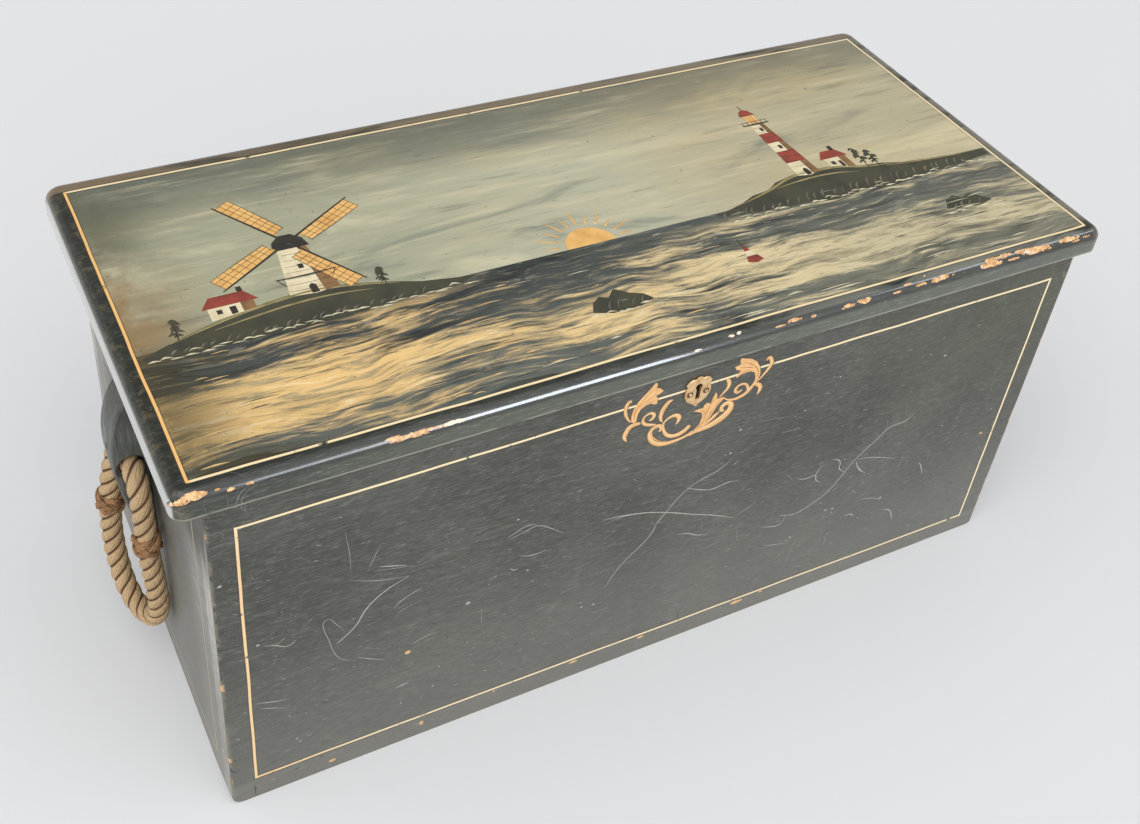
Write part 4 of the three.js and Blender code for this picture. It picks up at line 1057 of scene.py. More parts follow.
def lid_finish():
    finish, tree, shader, wood = bare_wood("lid_paint", "x", (190, 148, 100), (150, 110, 68))
    shader.inputs["Coat Roughness"].default_value = 0.1
    shader.inputs["Specular IOR Level"].default_value = 0.2
    place = tree.nodes.new("ShaderNodeTexCoord").outputs["Object"]
    x, y, z = parts_of(tree, place)
    v = calc(tree, "SUBTRACT", y, lid_front)

    def brushed(shares, detail=5.0, rough=0.6, distortion=0.0):
        return noise(tree, scaled(tree, place, (*shares, 1.0)), 1.0, detail, rough, distortion)

    def laid(share, weight, ground, colour):
        return mixed(tree, calc(tree, "MULTIPLY", share, weight), ground, tint(*colour))

    # Sky: a grey-green ground, darker above, with long drifting bands of cream cloud
    brush, bands, sweep = brushed((9, 110), 6.0, 0.65), brushed((3.0, 11), 5.0, 0.6, 0.8), brushed((1.4, 5.0), 3.0)
    sky = mixed(tree, rise(tree, x, -0.30, 0.0), tint(164, 164, 138), tint(182, 181, 156))
    sky = laid(rise(tree, sweep, 0.45, 0.66), 0.55, sky, (202, 188, 142))
    sky = laid(rise(tree, bands, 0.50, 0.70), 0.85, sky, (224, 216, 182))
    sky = laid(rise(tree, x, 0.02, 0.22), 0.3, sky, (184, 156, 100))
    sky = laid(rise(tree, bands, 0.46, 0.30), 0.7, sky, (96, 107, 104))
    high = calc(tree, "MULTIPLY_ADD", calc(tree, "SUBTRACT", bands, 0.5), 0.25, v)
    high = calc(tree, "MULTIPLY", rise(tree, high, 0.31, 0.42), calc(tree, "MULTIPLY_ADD", rise(tree, x, -0.1, 0.3), -0.25, 1.0))
    sky = laid(high, 0.80, sky, (88, 95, 90))
    sky = laid(rise(tree, brush, 0.5, 0.72), 0.5, sky, (212, 202, 166))
    sky = laid(rise(tree, brush, 0.46, 0.24), 0.55, sky, (84, 90, 82))

    # Sea: slate, darkest at the horizon, under torn strips of cream and ochre foam
    roll = calc(tree, "MULTIPLY", calc(tree, "SUBTRACT", noise(tree, scaled(tree, place, (6.5, 4, 1)), 1.0, 2.0), 0.5), 0.055)
    bent = tree.nodes.new("ShaderNodeCombineXYZ")
    plug(tree, x, bent.inputs["X"])
    plug(tree, calc(tree, "ADD", y, roll), bent.inputs["Y"])
    sky_place, place = place, bent.outputs["Vector"]
    swell, torn, fine = brushed((5, 34), 5.0, 0.62, 1.0), brushed((5, 34), 7.0, 0.7, 0.6), brushed((16, 210), 4.0)
    bristle = brushed((13, 90), 6.0, 0.72, 0.8)
    far_sea = mixed(tree, rise(tree, x, -0.15, 0.10), tint(62, 67, 65), tint(82, 87, 82))
    near_sea = mixed(tree, rise(tree, x, 0.0, 0.25), tint(96, 101, 94), tint(126, 125, 108))
    sea = mixed(tree, rise(tree, v, 0.05, 0.165), near_sea, far_sea)
    trough = calc(tree, "MULTIPLY", rise(tree, swell, 0.5, 0.36), calc(tree, "MULTIPLY_ADD", rise(tree, x, 0.0, 0.25), -0.5, 1.0))
    sea = laid(trough, 0.85, sea, (36, 40, 38))
    warm = rise(tree, x, 0.30, -0.30)
    crest = calc(tree, "ADD", calc(tree, "MULTIPLY", torn, 0.55), calc(tree, "MULTIPLY", fine, 0.28))
    crest = calc(tree, "ADD", crest, calc(tree, "MULTIPLY", brushed((2.0, 8), 2.0), 0.45))
    crest = calc(tree, "ADD", crest, calc(tree, "MULTIPLY", warm, 0.045))
    crest = calc(tree, "SUBTRACT", crest, calc(tree, "MULTIPLY", rise(tree, v, 0.10, 0.125), 0.07))
    crest = calc(tree, "MULTIPLY_ADD", calc(tree, "MULTIPLY", rise(tree, v, 0.034, 0.058), rise(tree, v, 0.105, 0.085)), 0.05, crest)
    crest = calc(tree, "SUBTRACT", crest, calc(tree, "MULTIPLY", rise(tree, v, 0.050, 0.036), 0.03))
    right = rise(tree, x, 0.0, 0.25)
    crest = calc(tree, "MULTIPLY_ADD", calc(tree, "MULTIPLY", right, rise(tree, v, 0.060, 0.040)), 0.040, crest)
    crest = calc(tree, "MULTIPLY_ADD", calc(tree, "MULTIPLY", right, rise(tree, v, 0.100, 0.125)), 0.045, crest)
    crest = calc(tree, "MULTIPLY_ADD", calc(tree, "MULTIPLY", rise(tree, x, -0.1, -0.4), rise(tree, v, 0.060, 0.040)), -0.03, crest)
    crest = calc(tree, "MULTIPLY", rise(tree, crest, 0.60, 0.71), rise(tree, v, 0.164, 0.145))
    place = sky_place
    foam = mixed(tree, warm, tint(218, 204, 164), tint(236, 198, 132))
    foam = laid(rise(tree, bristle, 0.52, 0.40), 0.75, foam, (150, 140, 112))
    foam = laid(rise(tree, bristle, 0.56, 0.68), 0.8, foam, (250, 230, 184))
    sea = laid(rise(tree, bristle, 0.54, 0.66), 0.45, sea, (160, 156, 136))
    sea = laid(rise(tree, bristle, 0.44, 0.34), 0.5, sea, (52, 57, 56))
    cover = calc(tree, "MULTIPLY_ADD", rise(tree, x, 0.10, 0.30), -0.20, 0.95)
    sea = mixed(tree, calc(tree, "MULTIPLY", crest, cover), sea, foam)
    sea = laid(rise(tree, fine, 0.55, 0.75), 0.35, sea, (206, 190, 146))
    sea = laid(rise(tree, fine, 0.45, 0.25), 0.7, sea, (44, 44, 38))
    picture = mixed(tree, rise(tree, v, horizon - 0.6 * mm, horizon + 0.6 * mm), sea, sky)

    # Varnish: browned towards the left and rear edges, with dark flecks and small wounds
    stain = calc(tree, "MAXIMUM", rise(tree, x, -0.37, -0.475), calc(tree, "MULTIPLY", rise(tree, v, 0.38, 0.44), 0.5))
    corner = calc(tree, "MULTIPLY", rise(tree, x, -0.27, -0.42), rise(tree, v, 0.085, 0.035))
    stain = calc(tree, "MAXIMUM", stain, calc(tree, "MULTIPLY", corner, rise(tree, torn, 0.62, 0.42)))
    stain = calc(tree, "MULTIPLY", stain, rise(tree, noise(tree, place, 14.0, 5.0, 0.65), 0.2, 0.55))
    brown = mixed(tree, rise(tree, v, 0.15, 0.19), tint(66, 60, 40), tint(138, 106, 62))
    brown = mixed(tree, rise(tree, v, 0.24, 0.33), brown, tint(92, 90, 72))
    picture = mixed(tree, calc(tree, "MULTIPLY", stain, 0.8), picture, brown)
    flecks = noise(tree, place, 230.0, 2.0, 0.5)
    picture = laid(rise(tree, flecks, 0.735, 0.77), 0.7, picture, (52, 46, 36))
    crackle = noise(tree, scaled(tree, place, (30, 160, 1)), 1.0, 6.0, 0.8)
    picture = laid(rise(tree, crackle, 0.60, 0.68), 0.30, picture, (58, 52, 40))
    picture = laid(rise(tree, crackle, 0.38, 0.30), 0.25, picture, (226, 214, 180))

    # Edge: near-black green outside the cream line, with painted light and shade by facing:
    # the vertical front face is laid lighter, the end faces near-white, the flat top darker.
    border, strokes, specks = weathered_paint(tree, place, tint(36, 39, 32), tint(62, 65, 55), (14.0, 120.0, 120.0))
    # painted light: the vertical front face of the edge laid lighter than the top
    face = rise(tree, z, lid_high.z - 8 * mm, lid_high.z - 13 * mm)
    border = laid(calc(tree, "MULTIPLY", face, rise(tree, x, -0.50, -0.10)), 0.30, border, (122, 127, 108))
    # painted light: the lid's end faces laid near-white
    end = calc(tree, "MULTIPLY", rise(tree, calc(tree, "ABSOLUTE", x), 0.4868, 0.4885), rise(tree, z, lid_high.z - 5 * mm, lid_high.z - 9 * mm))
    border = laid(end, 0.75, border, (206, 207, 200))
    # painted shade: the flat top border darkened to near-black
    border = laid(calc(tree, "SUBTRACT", 1.0, calc(tree, "MAXIMUM", face, end)), 0.55, border, (17, 20, 16))
    handled = calc(tree, "MULTIPLY", rise(tree, x, -0.25, 0.30), rise(tree, swell, 0.36, 0.56))
    handled = calc(tree, "MULTIPLY", handled, rise(tree, z, lid_high.z - 3 * mm, lid_high.z - 1 * mm))
    border = laid(handled, 0.62, border, (136, 138, 128))
    mossy = calc(tree, "MULTIPLY", rise(tree, x, -0.468, -0.476), rise(tree, noise(tree, place, 85.0, 6.0, 0.75), 0.50, 0.66))
    border = laid(calc(tree, "MULTIPLY", mossy, calc(tree, "SUBTRACT", 1.0, end)), 0.5, border, (110, 98, 66))
    # Thin pale line along the lid's lower edge: worn paint with a painted highlight
    lower_edge_wear_and_highlight = calc(tree, "MULTIPLY", rise(tree, z, lid_low.z + 2.4 * mm, lid_low.z + 1.0 * mm), rise(tree, brush, 0.38, 0.48))
    border = laid(lower_edge_wear_and_highlight, 0.5, border, (168, 168, 152))
    worn_back = calc(tree, "MULTIPLY", rise(tree, v, 0.429, 0.433), rise(tree, v, 0.4515, 0.449))
    worn_back = calc(tree, "MAXIMUM", worn_back, calc(tree, "MULTIPLY", rise(tree, x, 0.474, 0.478), 0.5))
    border = laid(calc(tree, "MULTIPLY", worn_back, rise(tree, swell, 0.25, 0.60)), 0.8, border, (132, 116, 90))
    waver = calc(tree, "MULTIPLY", calc(tree, "SUBTRACT", noise(tree, place, 8.0, 2.0), 0.5), 4.0 * mm)
    left_x, right_x, near_v, far_v = -0.4721, 0.4716, 0.0145, 0.4290
    cream, rim = frame_lines(tree, [
        (v, near_v, x, left_x, right_x),
        (v, far_v, x, left_x, right_x),
        (x, left_x, v, near_v, far_v),
        (x, right_x, v, near_v, far_v),
    ], waver)
    soft = 0.5 * mm
    inside = calc(tree, "MULTIPLY", rise(tree, x, left_x - soft, left_x + soft), rise(tree, x, right_x + soft, right_x - soft))
    inside = calc(tree, "MULTIPLY", inside, rise(tree, v, near_v - soft, near_v + soft))
    inside = calc(tree, "MULTIPLY", inside, rise(tree, v, far_v + soft, far_v - soft))
    top = rise(tree, z, lid_high.z - 1.5 * mm, lid_high.z - 0.5 * mm)
    colour = mixed(tree, calc(tree, "MULTIPLY", inside, top), border, picture)
    gaps = rise(tree, noise(tree, place, 60.0, 3.0, 0.6), 0.27, 0.36)
    cream = calc(tree, "MULTIPLY", calc(tree, "MULTIPLY", cream, gaps), top)
    colour = mixed(tree, calc(tree, "MULTIPLY", calc(tree, "MULTIPLY", rim, top), 0.5), colour, tint(42, 40, 32))
    colour = mixed(tree, cream, colour, mixed(tree, rise(tree, x, -0.468, -0.4715), tint(244, 222, 176), tint(238, 188, 116)))

    # Chips to the wood along the front edge: long flakes, each with a painted dark shadow rim, most of them
    # on the right and at the left corner, and a few pale ones between. Where the edge catches the window light, the
    # chips are laid near-white as a painted highlight.
    around = calc(tree, "SUBTRACT", calc(tree, "SUBTRACT", lid_high.z, z), v)
    nearest = 9.0
    for start, end, low, tall in (
        (-488, -473, 4, 4.8), (-481, -459, 1.8, 4.6), (-455, -449, 2, 1.9), (-447, -439, 6, 1.9), (-431, -423, 5.5, 1.6),
        (-313, -290, 4.2, 3.4), (-298, -263, 4.4, 3.4), (-262, -240, 4.2, 2.4), (-15, -6, 3.3, 1.4), (24, 30, -2.5, 1.9),
        (33, 38, -3.4, 1.9), (75, 85, 2.8, 1.1), (88, 104, 0.5, 2.3), (114, 122, 2.5, 2.2), (150, 165, 2.8, 2.6),
        (170, 185, 2, 3.5), (212, 222, 3.3, 1.4), (226, 237, -3, 1.6), (237, 253, 2, 2.6), (251, 256, -8, 1.2),
        (259, 291, 1, 4), (321, 351, 2.7, 3.2), (331, 369, -3.8, 3.3), (367, 386, -4, 3.2), (380, 419, 0.4, 4.5),
        (359, 372, 4, 1.4), (431, 453, -1.2, 3.8), (445, 456, 4.2, 1.2), (460, 471, 2.4, 2.0),
    ):
        half = (end - start) / 2 * mm
        from_x = calc(tree, "MULTIPLY_ADD", x, 1 / half, -(start + end) / 2 * mm / half)
        from_low = calc(tree, "MULTIPLY_ADD", around, 1 / (tall * mm), -low / tall)
        reach = calc(tree, "MULTIPLY_ADD", from_low, from_low, calc(tree, "MULTIPLY", from_x, from_x))
        nearest = calc(tree, "MINIMUM", nearest, reach)
    rub = noise(tree, scaled(tree, place, (1.0, 2.2, 2.2)), 105.0, 4.0, 0.7, 0.6)
    shards = tree.nodes.new("ShaderNodeTexVoronoi")
    shards.inputs["Scale"].default_value = 210.0
    shards.inputs["Randomness"].default_value = 1.0
    plug(tree, scaled(tree, place, (0.6, 1.0, 1.0)), shards.inputs["Vector"])
    shard = parts_of(tree, shards.outputs["Color"])[0]
    ragged = calc(tree, "MULTIPLY_ADD", rub, 1.8, calc(tree, "SUBTRACT", nearest, 1.65))
    ragged = calc(tree, "MULTIPLY_ADD", shard, 1.5, ragged)
    sides = calc(tree, "MULTIPLY", rise(tree, calc(tree, "ABSOLUTE", x), 0.482, 0.487), rise(tree, v, 0.03, 0.05))
    others = calc(tree, "MAXIMUM", sides, rise(tree, v, 0.444, 0.449))
    others = calc(tree, "MAXIMUM", others, calc(tree, "MULTIPLY", rise(tree, v, 11 * mm, 8 * mm), rise(tree, z, lid_high.z - 13 * mm, lid_high.z - 9 * mm)))
    chips = calc(tree, "MAXIMUM", rise(tree, ragged, 0.93, 0.87), calc(tree, "MULTIPLY", rise(tree, rub, 0.72, 0.74), others))
    # painted shadow: a dark rim round each chip, where the torn paint edge would cast shade
    chip_shadow_rim = rise(tree, ragged, 1.7, 1.1)
    colour = laid(chip_shadow_rim, 0.85, colour, (24, 22, 22))
    # painted highlight: chips in the band where the rounded edge catches the window light are laid near-white, with
    # scattered pale flecks elsewhere
    chip_highlight_band = calc(tree, "MULTIPLY", rise(tree, x, -0.262, -0.258), rise(tree, x, 0.060, 0.055))
    bare = mixed(tree, rise(tree, flecks, 0.4, 0.6), tint(232, 192, 142), tint(198, 148, 98))
    bare = laid(calc(tree, "MAXIMUM", chip_highlight_band, rise(tree, noise(tree, place, 150.0, 2.0), 0.64, 0.68)), 0.7, bare, (244, 236, 222))
    colour = mixed(tree, chips, colour, bare)
    under = rise(tree, z, lid_low.z + 5.5 * mm, lid_low.z + 3.2 * mm)
    deep_in = calc(tree, "MULTIPLY", calc(tree, "LESS_THAN", calc(tree, "ABSOLUTE", x), 0.4895), calc(tree, "LESS_THAN", v, 0.4515))
    under = calc(tree, "MULTIPLY", under, calc(tree, "MULTIPLY", deep_in, calc(tree, "GREATER_THAN", v, 0.5 * mm)))
    round_corner = calc(tree, "MAXIMUM", calc(tree, "LESS_THAN", v, 13.5 * mm), calc(tree, "GREATER_THAN", v, 0.435))
    round_corner = calc(tree, "MULTIPLY", round_corner, calc(tree, "GREATER_THAN", calc(tree, "ABSOLUTE", x), 0.4735))
    under = calc(tree, "MULTIPLY", under, calc(tree, "SUBTRACT", 1.0, round_corner))
    colour = mixed(tree, under, colour, wood)
    varnish = calc(tree, "MULTIPLY_ADD", inside, -0.3, 0.45)
    varnish = calc(tree, "MULTIPLY_ADD", calc(tree, "SUBTRACT", varnish, 1.0), top, 1.0)
    varnish = calc(tree, "MULTIPLY", varnish, calc(tree, "SUBTRACT", 1.0, calc(tree, "MAXIMUM", under, chips)))
    plug(tree, varnish, shader.inputs["Coat Weight"])
    plug(tree, colour, shader.inputs["Base Color"])
    plug(tree, calc(tree, "MULTIPLY_ADD", brush, 0.25, 0.25), shader.inputs["Roughness"])
    height = calc(tree, "ADD", calc(tree, "MULTIPLY", brush, 0.7), calc(tree, "MULTIPLY", flecks, 0.5))
    height = calc(tree, "SUBTRACT", height, calc(tree, "MULTIPLY", chips, 3.0))
    bumped(tree, shader, height, 0.35 * mm, 0.8)
    return finish


lid = smooth_copy("lid_board", "painted_lid", lid_finish(), "lid")

# Sea scene on the lid: a plain coast in a sign painter's manner, brushed over the ground
# colours in thin coats. A mill stands on the left, a light tower on the right, the sun between.


def on_lid(made, thickness):
    settle(made, 0, (0, lid_front, lid_high.z), thickness)
    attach(made, "lid")


land_paint = plain_paint("land_paint", tint(70, 68, 48), tint(50, 52, 40), 40.0)
grass_paint = plain_paint("grass_paint", tint(160, 144, 92), tint(118, 112, 70), 70.0)
rock_paint = plain_paint("rock_paint", tint(122, 116, 98), tint(84, 82, 72), 80.0)
lime_paint = plain_paint("limewash_paint", tint(234, 222, 186), tint(206, 190, 150), 60.0)
ochre_paint = plain_paint("ochre_paint", tint(236, 188, 112), tint(212, 158, 86), 45.0)
umber_paint = plain_paint("umber_paint", tint(142, 106, 66), tint(112, 84, 52), 70.0)
red_paint = plain_paint("red_paint", tint(156, 66, 48), tint(122, 50, 38), 70.0)
line_paint = plain_paint("line_paint", tint(38, 36, 30), tint(56, 48, 38), 90.0)
foam_paint = plain_paint("foam_paint", tint(228, 218, 182), tint(188, 184, 156), 90.0)
warm_foam_paint = plain_paint("warm_foam_paint", tint(230, 192, 128), tint(200, 164, 108), 90.0)
slate_paint = plain_paint("slate_paint", tint(54, 57, 54), tint(78, 82, 78), 90.0)

# Waves
warm_crests, cool_crests, troughs = [], [], []
for number in range(300):
    v = 20 + 144 * chance.random()
    length = chance.uniform(10, 60) * (1 - v / 260)
    x = chance.uniform(-464, 462 - length)
    swell, width = chance.uniform(0.2, 1.4), chance.uniform(0.5, 2.4) * (1 - v / 300)
    crest = [
        (x, v, 0.2), (x + 0.25 * length, v + 0.6 * swell, 0.7 * width), (x + 0.55 * length, v + swell, width),
        (x + 0.8 * length, v + 0.5 * swell, 0.6 * width), (x + length, v - 0.2 * swell, 0.2),
    ]
    if chance.random() < 0.3:
        troughs.append(crest)
    elif x + chance.uniform(-200, 200) < -60:
        warm_crests.append(crest)
    else:
        cool_crests.append(crest)
brush_marks("sea_troughs", troughs, slate_paint, on_lid, 0.01)
brush_marks("sea_crests_warm", warm_crests, warm_foam_paint, on_lid, 0.03)

# Sun with its rays, low over the water
sun_x, sun_v, sun_radius = -28, 171, 27
sun = [
    (sun_x + sun_radius * math.cos(math.pi * step / 24), sun_v + sun_radius * math.sin(math.pi * step / 24))
    for step in range(25)
]
paint_patches("sun", [sun], ochre_paint, on_lid, 0.06)
rays = []
for number in range(11):
    turn = math.pi * (number + 0.5) / 11
    near, far = sun_radius + 7, sun_radius + (34 if number % 2 else 24)
    rays.append([
        (sun_x + reach * math.cos(turn), sun_v + reach * math.sin(turn), width)
        for reach, width in ((near, 2.6), ((near + far) / 2, 1.8), (far, 0.2))
    ])
brush_marks("sun_rays", rays, ochre_paint, on_lid, 0.05)

# Land on both sides, its lit crown, and the rocks before it
paint_patches("land", [
    [(-466, 166), (-452, 172), (-430, 180), (-400, 189), (-365, 197), (-330, 202), (-295, 203), (-262, 197),
     (-232, 188), (-205, 178), (-170, 171), (-150, 168), (-190, 162), (-250, 158), (-330, 156), (-400, 158), (-466, 161)],
    [(112, 167), (134, 172), (150, 176), (168, 184), (190, 187), (205, 196), (228, 201), (262, 202), (290, 199),
     (312, 190), (338, 187), (360, 180), (392, 176), (430, 172), (466, 171), (466, 160), (420, 155), (370, 151),
     (330, 147), (290, 151), (250, 147), (215, 153), (180, 155), (140, 160)],
    [(-78, 78), (-72, 90), (-62, 97), (-54, 92), (-44, 103), (-32, 92), (-20, 86), (-14, 77), (-30, 71), (-60, 71)],
    [(352, 92), (360, 104), (372, 109), (380, 102), (392, 106), (404, 95), (410, 88), (390, 84), (366, 86)],
], land_paint, on_lid, 0.08)
brush_marks("grass", [
    [(-440, 176, 0.6), (-400, 187, 2.6), (-365, 195, 3.4), (-330, 200, 4.4), (-295, 201, 4.4), (-262, 195, 3), (-225, 184, 0.6)],
    [(-400, 180, 0.4), (-360, 186, 2.4), (-320, 190, 2.8), (-280, 189, 2), (-250, 184, 0.4)],
    [(150, 175, 0.6), (190, 186, 3), (228, 199, 3.6), (262, 200, 4.6), (290, 197, 4), (312, 189, 3), (350, 182, 0.6)],
    [(200, 186, 0.4), (235, 190, 2.6), (275, 189, 2.6), (305, 182, 0.4)],
    [(340, 181, 0.4), (380, 176, 2), (430, 171.5, 1.6), (462, 171, 0.4)],
], grass_paint, on_lid, 0.14)
crags = []
for start_x, end_x, base, tall in ((-60, -20, 76, 14), (120, 440, 156, 14), (358, 400, 89, 10), (-440, -200, 162, 8)):
    for number in range(round((end_x - start_x) / 11)):
        x = start_x + 11 * number + chance.uniform(-3, 3)
        reach = tall * chance.uniform(0.5, 1.0)
        crags.append([(x, base, 0.5), (x + 2.5, base + reach * 0.6, chance.uniform(1.2, 3.2)), (x + 6.5, base + reach, 0.3)])
brush_marks("rock_lights", crags, rock_paint, on_lid, 0.15)

# Mill: a tapered tower with a stage and a cap, four sails of cloth on lattice frames, and
# a cottage beside it
hub_x, hub_v = -300, 278
paint_patches("limewashed_walls", [
    [(-324, 200), (-314, 268), (-286, 268), (-276, 200), (-300, 197)],
    [(-398, 192), (-398, 210), (-356, 210), (-356, 197)],
    [(236, 198), (241.5, 300), (258.5, 300), (264, 198), (250, 195)],
    [(280, 198), (280, 215), (308, 215), (308, 192)],
    [(104, 98), (106.5, 106), (113.5, 106), (116, 98)],
], lime_paint, on_lid, 0.14)
paint_patches("shaded_walls", [
    [(-291, 198), (-294, 268), (-286, 268), (-276, 200)],
    [(-368, 196), (-368, 210), (-356, 210), (-356, 197)],
    [(255, 196), (253, 300), (258.5, 300), (264, 198)],
    [(299, 194), (299, 215), (308, 215), (308, 192)],
], umber_paint, on_lid, 0.17)
paint_patches("red_roofs_and_bands", [
    [(-403, 209), (-393, 224), (-361, 224), (-351, 209)],
    [(276, 214), (285, 228), (303, 228), (312, 214)],
    [(237.3, 222), (238.5, 244), (261.5, 244), (262.7, 222)],
    [(239.4, 262), (240.4, 281), (259.6, 281), (260.6, 262)],
    [(240, 319), (244, 328), (250, 332), (256, 328), (260, 319)],
    [(101, 90), (104, 98), (116, 98), (119, 90), (110, 87)],
    [(106.5, 106), (110, 118), (113.5, 106)],
], red_paint, on_lid, 0.20)
paint_patches("dark_shapes", [
    [(-318, 268), (-315, 281), (-306, 290), (-294, 290), (-285, 281), (-282, 268)],
    [(-303.5, 198), (-303.5, 209), (-300, 212), (-296.5, 209), (-296.5, 198)],
    [(-303, 236), (-303, 243), (-298, 243), (-298, 236)],
    [(-391, 199), (-391, 205), (-386, 205), (-386, 199)],
    [(-379, 195), (-379, 206), (-373, 206), (-373, 196)],
    [(247, 196), (247, 206), (250, 209), (253, 206), (253, 196)],
    [(248, 249), (248, 256), (252, 256), (252, 249)],
    [(248, 286), (248, 292), (252, 292), (252, 286)],
    [(285, 202), (285, 208), (290, 208), (290, 202)],
    [(294, 196), (294, 207), (298, 207), (298, 195)],
    [(-366, 224), (-366, 231), (-361, 231), (-361, 224)],
    [(298, 227), (298, 235), (303, 235), (303, 227)],
], line_paint, on_lid, 0.20)
sails, lattice = [], []
for quarter in range(4):
    turn = math.radians(33 + 90 * quarter)
    along_x, along_v = math.cos(turn), math.sin(turn)

    def on_sail(reach, side):
        return hub_x + reach * along_x + side * along_v, hub_v + reach * along_v - side * along_x

    sails.append([on_sail(16, 1), on_sail(88, 1), on_sail(88, 19), on_sail(18, 15)])
    lattice.append([(*on_sail(0, 0), 2.6), (*on_sail(50, 0), 2.2), (*on_sail(92, 0), 1.4)])
    for side in (7, 13, 18.4):
        lattice.append([(*on_sail(17, side * 0.85), 0.6), (*on_sail(55, side * 0.97), 0.6), (*on_sail(88, side), 0.6)])
    for number in range(9):
        reach = 18 + 8.7 * number
        lattice.append([(*on_sail(reach, -1), 0.6), (*on_sail(reach, 9), 0.6), (*on_sail(reach, 16 + number / 3), 0.6)])
sails.append([(243.5, 303), (243.5, 318), (256.5, 318), (256.5, 303)])
paint_patches("ochre_sails_and_lantern", sails, ochre_paint, on_lid, 0.24)
lattice += [
    [(-329, 226, 1.4), (-300, 225, 2.4), (-271, 226, 1.4)], [(-322, 214, 0.5), (-325, 220, 0.8), (-328, 226, 0.8)],
    [(-279, 214, 0.5), (-275, 220, 0.8), (-272, 226, 0.8)], [(hub_x - 3, hub_v, 6.5), (hub_x, hub_v, 7), (hub_x + 3, hub_v, 6.5)],
    [(233, 301, 1.4), (250, 300.5, 3), (267, 301, 1.4)], [(234, 307, 0.5), (250, 306.5, 0.7), (266, 307, 0.5)],
    [(250, 331, 1.2), (250, 336, 0.9), (250, 341, 0.5)], [(110, 117, 1), (110, 121, 0.9), (110, 125, 0.6)],
    [(320, 184, 0.8), (322, 200, 1.2), (322, 214, 0.4)], [(334, 182, 0.8), (335, 196, 1.2), (336, 208, 0.4)],
    [(-236, 186, 0.8), (-236, 198, 1.2), (-235, 208, 0.4)], [(-432, 176, 0.8), (-431, 190, 1.2), (-431, 202, 0.4)],
]
for post in range(6):
    lattice.append([(235 + 6 * post, 301, 0.6), (235 + 6 * post, 304, 0.6), (235 + 6 * post, 307, 0.6)])
for pane in (247, 250, 253):
    lattice.append([(pane, 303, 0.6), (pane, 311, 0.6), (pane, 318, 0.6)])
for row in range(7):
    wide = 22 - 1.6 * row
    lattice.append([(hub_x - wide, 206 + 9 * row, 0.3), (hub_x, 205 + 9 * row, 0.5), (hub_x + wide, 206 + 9 * row, 0.3)])
for row in range(10):
    lattice.append([(237 + row / 2.2, 204 + 10 * row, 0.3), (250, 203 + 10 * row, 0.5), (263 - row / 2.2, 204 + 10 * row, 0.3)])
brush_marks("fine_dark_lines", lattice, line_paint, on_lid, 0.30)

# Trees by the buildings, foam at the foot of the land, and the pale crests of the open sea
leaves = []
for trunk_x, trunk_v, tall in ((322, 196, 24), (335, 192, 20), (-236, 192, 18), (-431, 184, 20)):
    for number in range(9):
        x = trunk_x + chance.uniform(-5, 5) * (1 - number / 12)
        v = trunk_v + tall * number / 8
        leaves.append([(x - 4, v - 1, 0.8), (x, v + 1.5, chance.uniform(3.0, 4.5)), (x + 4, v - 1, 0.8)])
brush_marks("trees", leaves, land_paint, on_lid, 0.2)
for start_x, end_x, base in ((120, 460, 152), (-462, -160, 160), (-84, -8, 72), (346, 414, 84), (96, 124, 87)):
    for number in range(round((end_x - start_x) / 9)):
        x = start_x + 9 * number + chance.uniform(-3, 3)
        v = base + chance.uniform(-3.5, 2.5)
        cool_crests.append([(x, v, 0.3), (x + 5, v + chance.uniform(0, 2.5), chance.uniform(1.2, 3)), (x + 12, v - 0.5, 0.3)])
brush_marks("sea_crests_cool", cool_crests, foam_paint, on_lid, 0.16)

# Cleats: bow-shaped hardwood blocks under the same paint as the ends, rubbed to a paler
# grey on the crown by the ropes and by handling. Their upper part is darkened as painted shade
# under the lid, and a small dark spot above the rope hole is painted shade of a hole.


def cleat_finish():
    finish, tree, shader = new_finish("cleat_paint", roughness=0.5)
    place = tree.nodes.new("ShaderNodeTexCoord").outputs["Object"]
    x, y, z = parts_of(tree, place)
    colour, strokes, specks = weathered_paint(tree, place, tint(74, 77, 72), tint(104, 106, 100), (90.0, 90.0, 7.0))
    proud = rise(tree, calc(tree, "ABSOLUTE", x), half_length + 12 * mm, half_length + 33 * mm)
    # painted shade of a small hole: a near-black spot on the cleat's outer face above the rope hole
    up, beside = calc(tree, "SUBTRACT", z, rope_hole_height + 17 * mm), calc(tree, "SUBTRACT", y, middle_y)
    from_hole_shade = calc(tree, "ADD", calc(tree, "POWER", calc(tree, "DIVIDE", up, 5.4 * mm), 2.0), calc(tree, "POWER", calc(tree, "DIVIDE", beside, 2.9 * mm), 2.0))
    hole_shade = calc(tree, "MULTIPLY", rise(tree, from_hole_shade, 1.15, 0.85), calc(tree, "GREATER_THAN", calc(tree, "ABSOLUTE", x), half_length + 24 * mm))
    rub = rise(tree, noise(tree, scaled(tree, place, (40.0, 40.0, 9.0)), 1.0, 5.0, 0.6), 0.42, 0.6)
    colour = mixed(tree, calc(tree, "MULTIPLY", calc(tree, "MULTIPLY", proud, rub), 0.5), colour, tint(142, 146, 140))
    # painted shade: the cleat's upper part darkened under the lid's overhang
    colour = mixed(tree, calc(tree, "MULTIPLY", rise(tree, z, 0.31, 0.36), 0.5), colour, tint(46, 44, 36))
    colour = mixed(tree, calc(tree, "MULTIPLY", hole_shade, 0.85), colour, tint(20, 19, 17))
    plug(tree, colour, shader.inputs["Base Color"])
    bumped(tree, shader, calc(tree, "ADD", strokes, specks), 0.4 * mm, 0.8)
    return finish


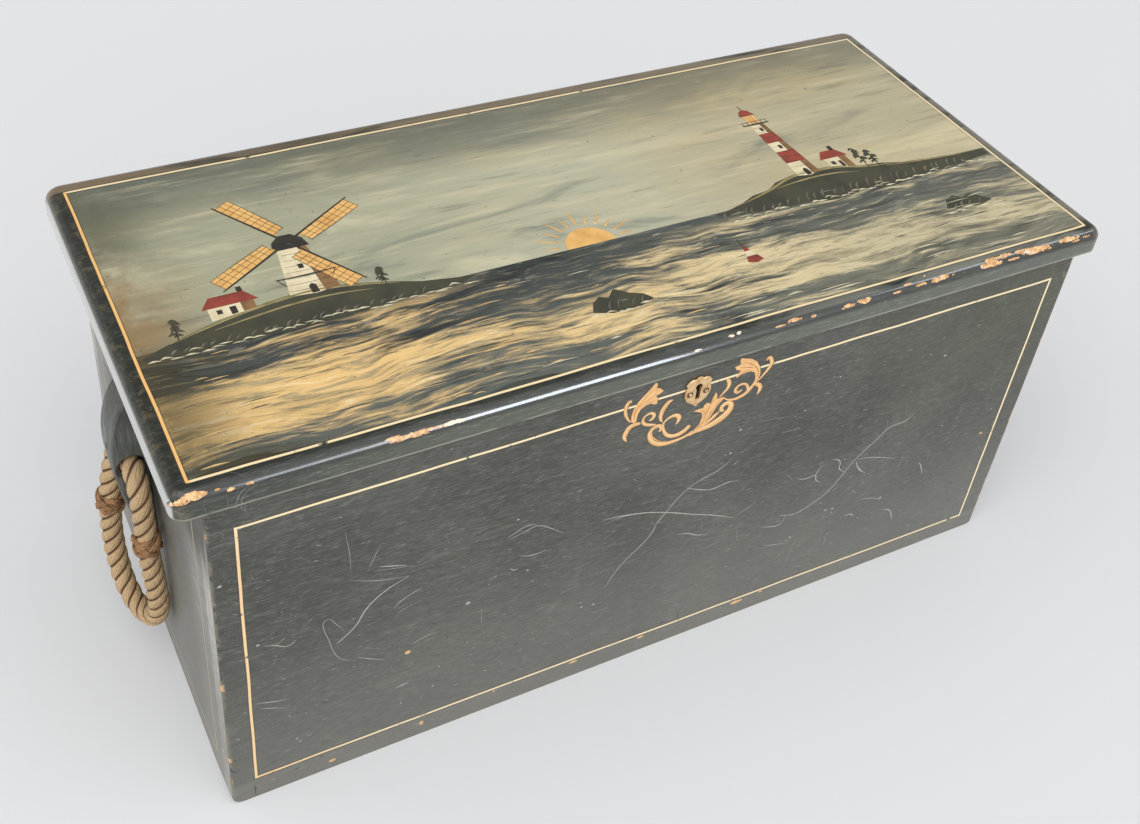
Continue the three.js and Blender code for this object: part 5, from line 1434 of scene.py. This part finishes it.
cleat_paint = cleat_finish()
for hand in ("left", "right"):
    smooth_copy(f"{hand}_cleat", f"{hand}_painted_cleat", cleat_paint, "chest", 30)

# Stage: a plain pale floor, a soft key light from the front left, a sky that is brighter on
# that side, and two window-like strips for the sheen on the lid's edges.
bpy.ops.object.select_all(action="DESELECT")
bpy.ops.mesh.primitive_plane_add(size=24, location=(0, 0, 0))
floor = bpy.context.object
floor.name = "floor"
floor_finish, tree, shader = new_finish("pale_floor", roughness=0.9)
shader.inputs["Base Color"].default_value = tint(227, 228, 229)
shader.inputs["Specular IOR Level"].default_value = 0.1
floor.data.materials.append(floor_finish)

world = bpy.data.worlds.new("studio_sky")
world.use_nodes = True
tree = world.node_tree
toward = tree.nodes.new("ShaderNodeTexCoord").outputs["Generated"]
facing = tree.nodes.new("ShaderNodeVectorMath")
facing.operation = "DOT_PRODUCT"
plug(tree, toward, facing.inputs[0])
facing.inputs[1].default_value = (-0.458, -0.815, 0.356)
toward_windows = rise(tree, facing.outputs["Value"], -0.35, 0.75)
background = tree.nodes["Background"]
background.inputs["Color"].default_value = (0.99, 0.99, 1.0, 1.0)
skylight = calc(tree, "ADD", toward_windows, 0.4)
rays = tree.nodes.new("ShaderNodeLightPath").outputs
seen = calc(tree, "ADD", rays["Is Camera Ray"], calc(tree, "ADD", rays["Is Glossy Ray"], rays["Is Transmission Ray"]))
seen = calc(tree, "MULTIPLY", calc(tree, "MINIMUM", seen, 1.0), rise(tree, parts_of(tree, toward)[2], 0.16, 0.04))
skylight = calc(tree, "MULTIPLY_ADD", seen, calc(tree, "SUBTRACT", 0.84, skylight), skylight)
plug(tree, skylight, background.inputs["Strength"])
bpy.context.scene.world = world


def soft_light(name, place, aim, size, power, colour=(1.0, 1.0, 1.0)):
    data = bpy.data.lights.new(name, "AREA")
    data.shape = "RECTANGLE"
    data.size, data.size_y = size
    data.energy = power
    data.color = colour
    lamp = bpy.data.objects.new(name, data)
    lamp.location = place
    lamp.rotation_euler = (Vector(aim) - Vector(place)).to_track_quat("-Z", "Y").to_euler()
    bpy.context.scene.collection.objects.link(lamp)
    return lamp


soft_light("key", (-1.8, -2.0, 4.4), (0, 0, 0.2), (3.2, 3.2), 40)
for name, place, aim, size, power in (
    ("front_window", (0.76, -2.5, 1.0), (-0.2, 0, 0.4), (0.85, 0.95), 52),
    ("low_window", (0.12, -2.5, 1.0), (-0.35, 0, 0.4), (0.45, 0.7), 7),
    ("right_window", (2.34, -1.38, 2.36), (0.36, -0.23, 0.44), (0.9, 0.4), 9),
):
    window = soft_light(name, place, aim, size, power, (0.86, 0.92, 1.0))
    window.visible_diffuse = False
    window.visible_camera = False
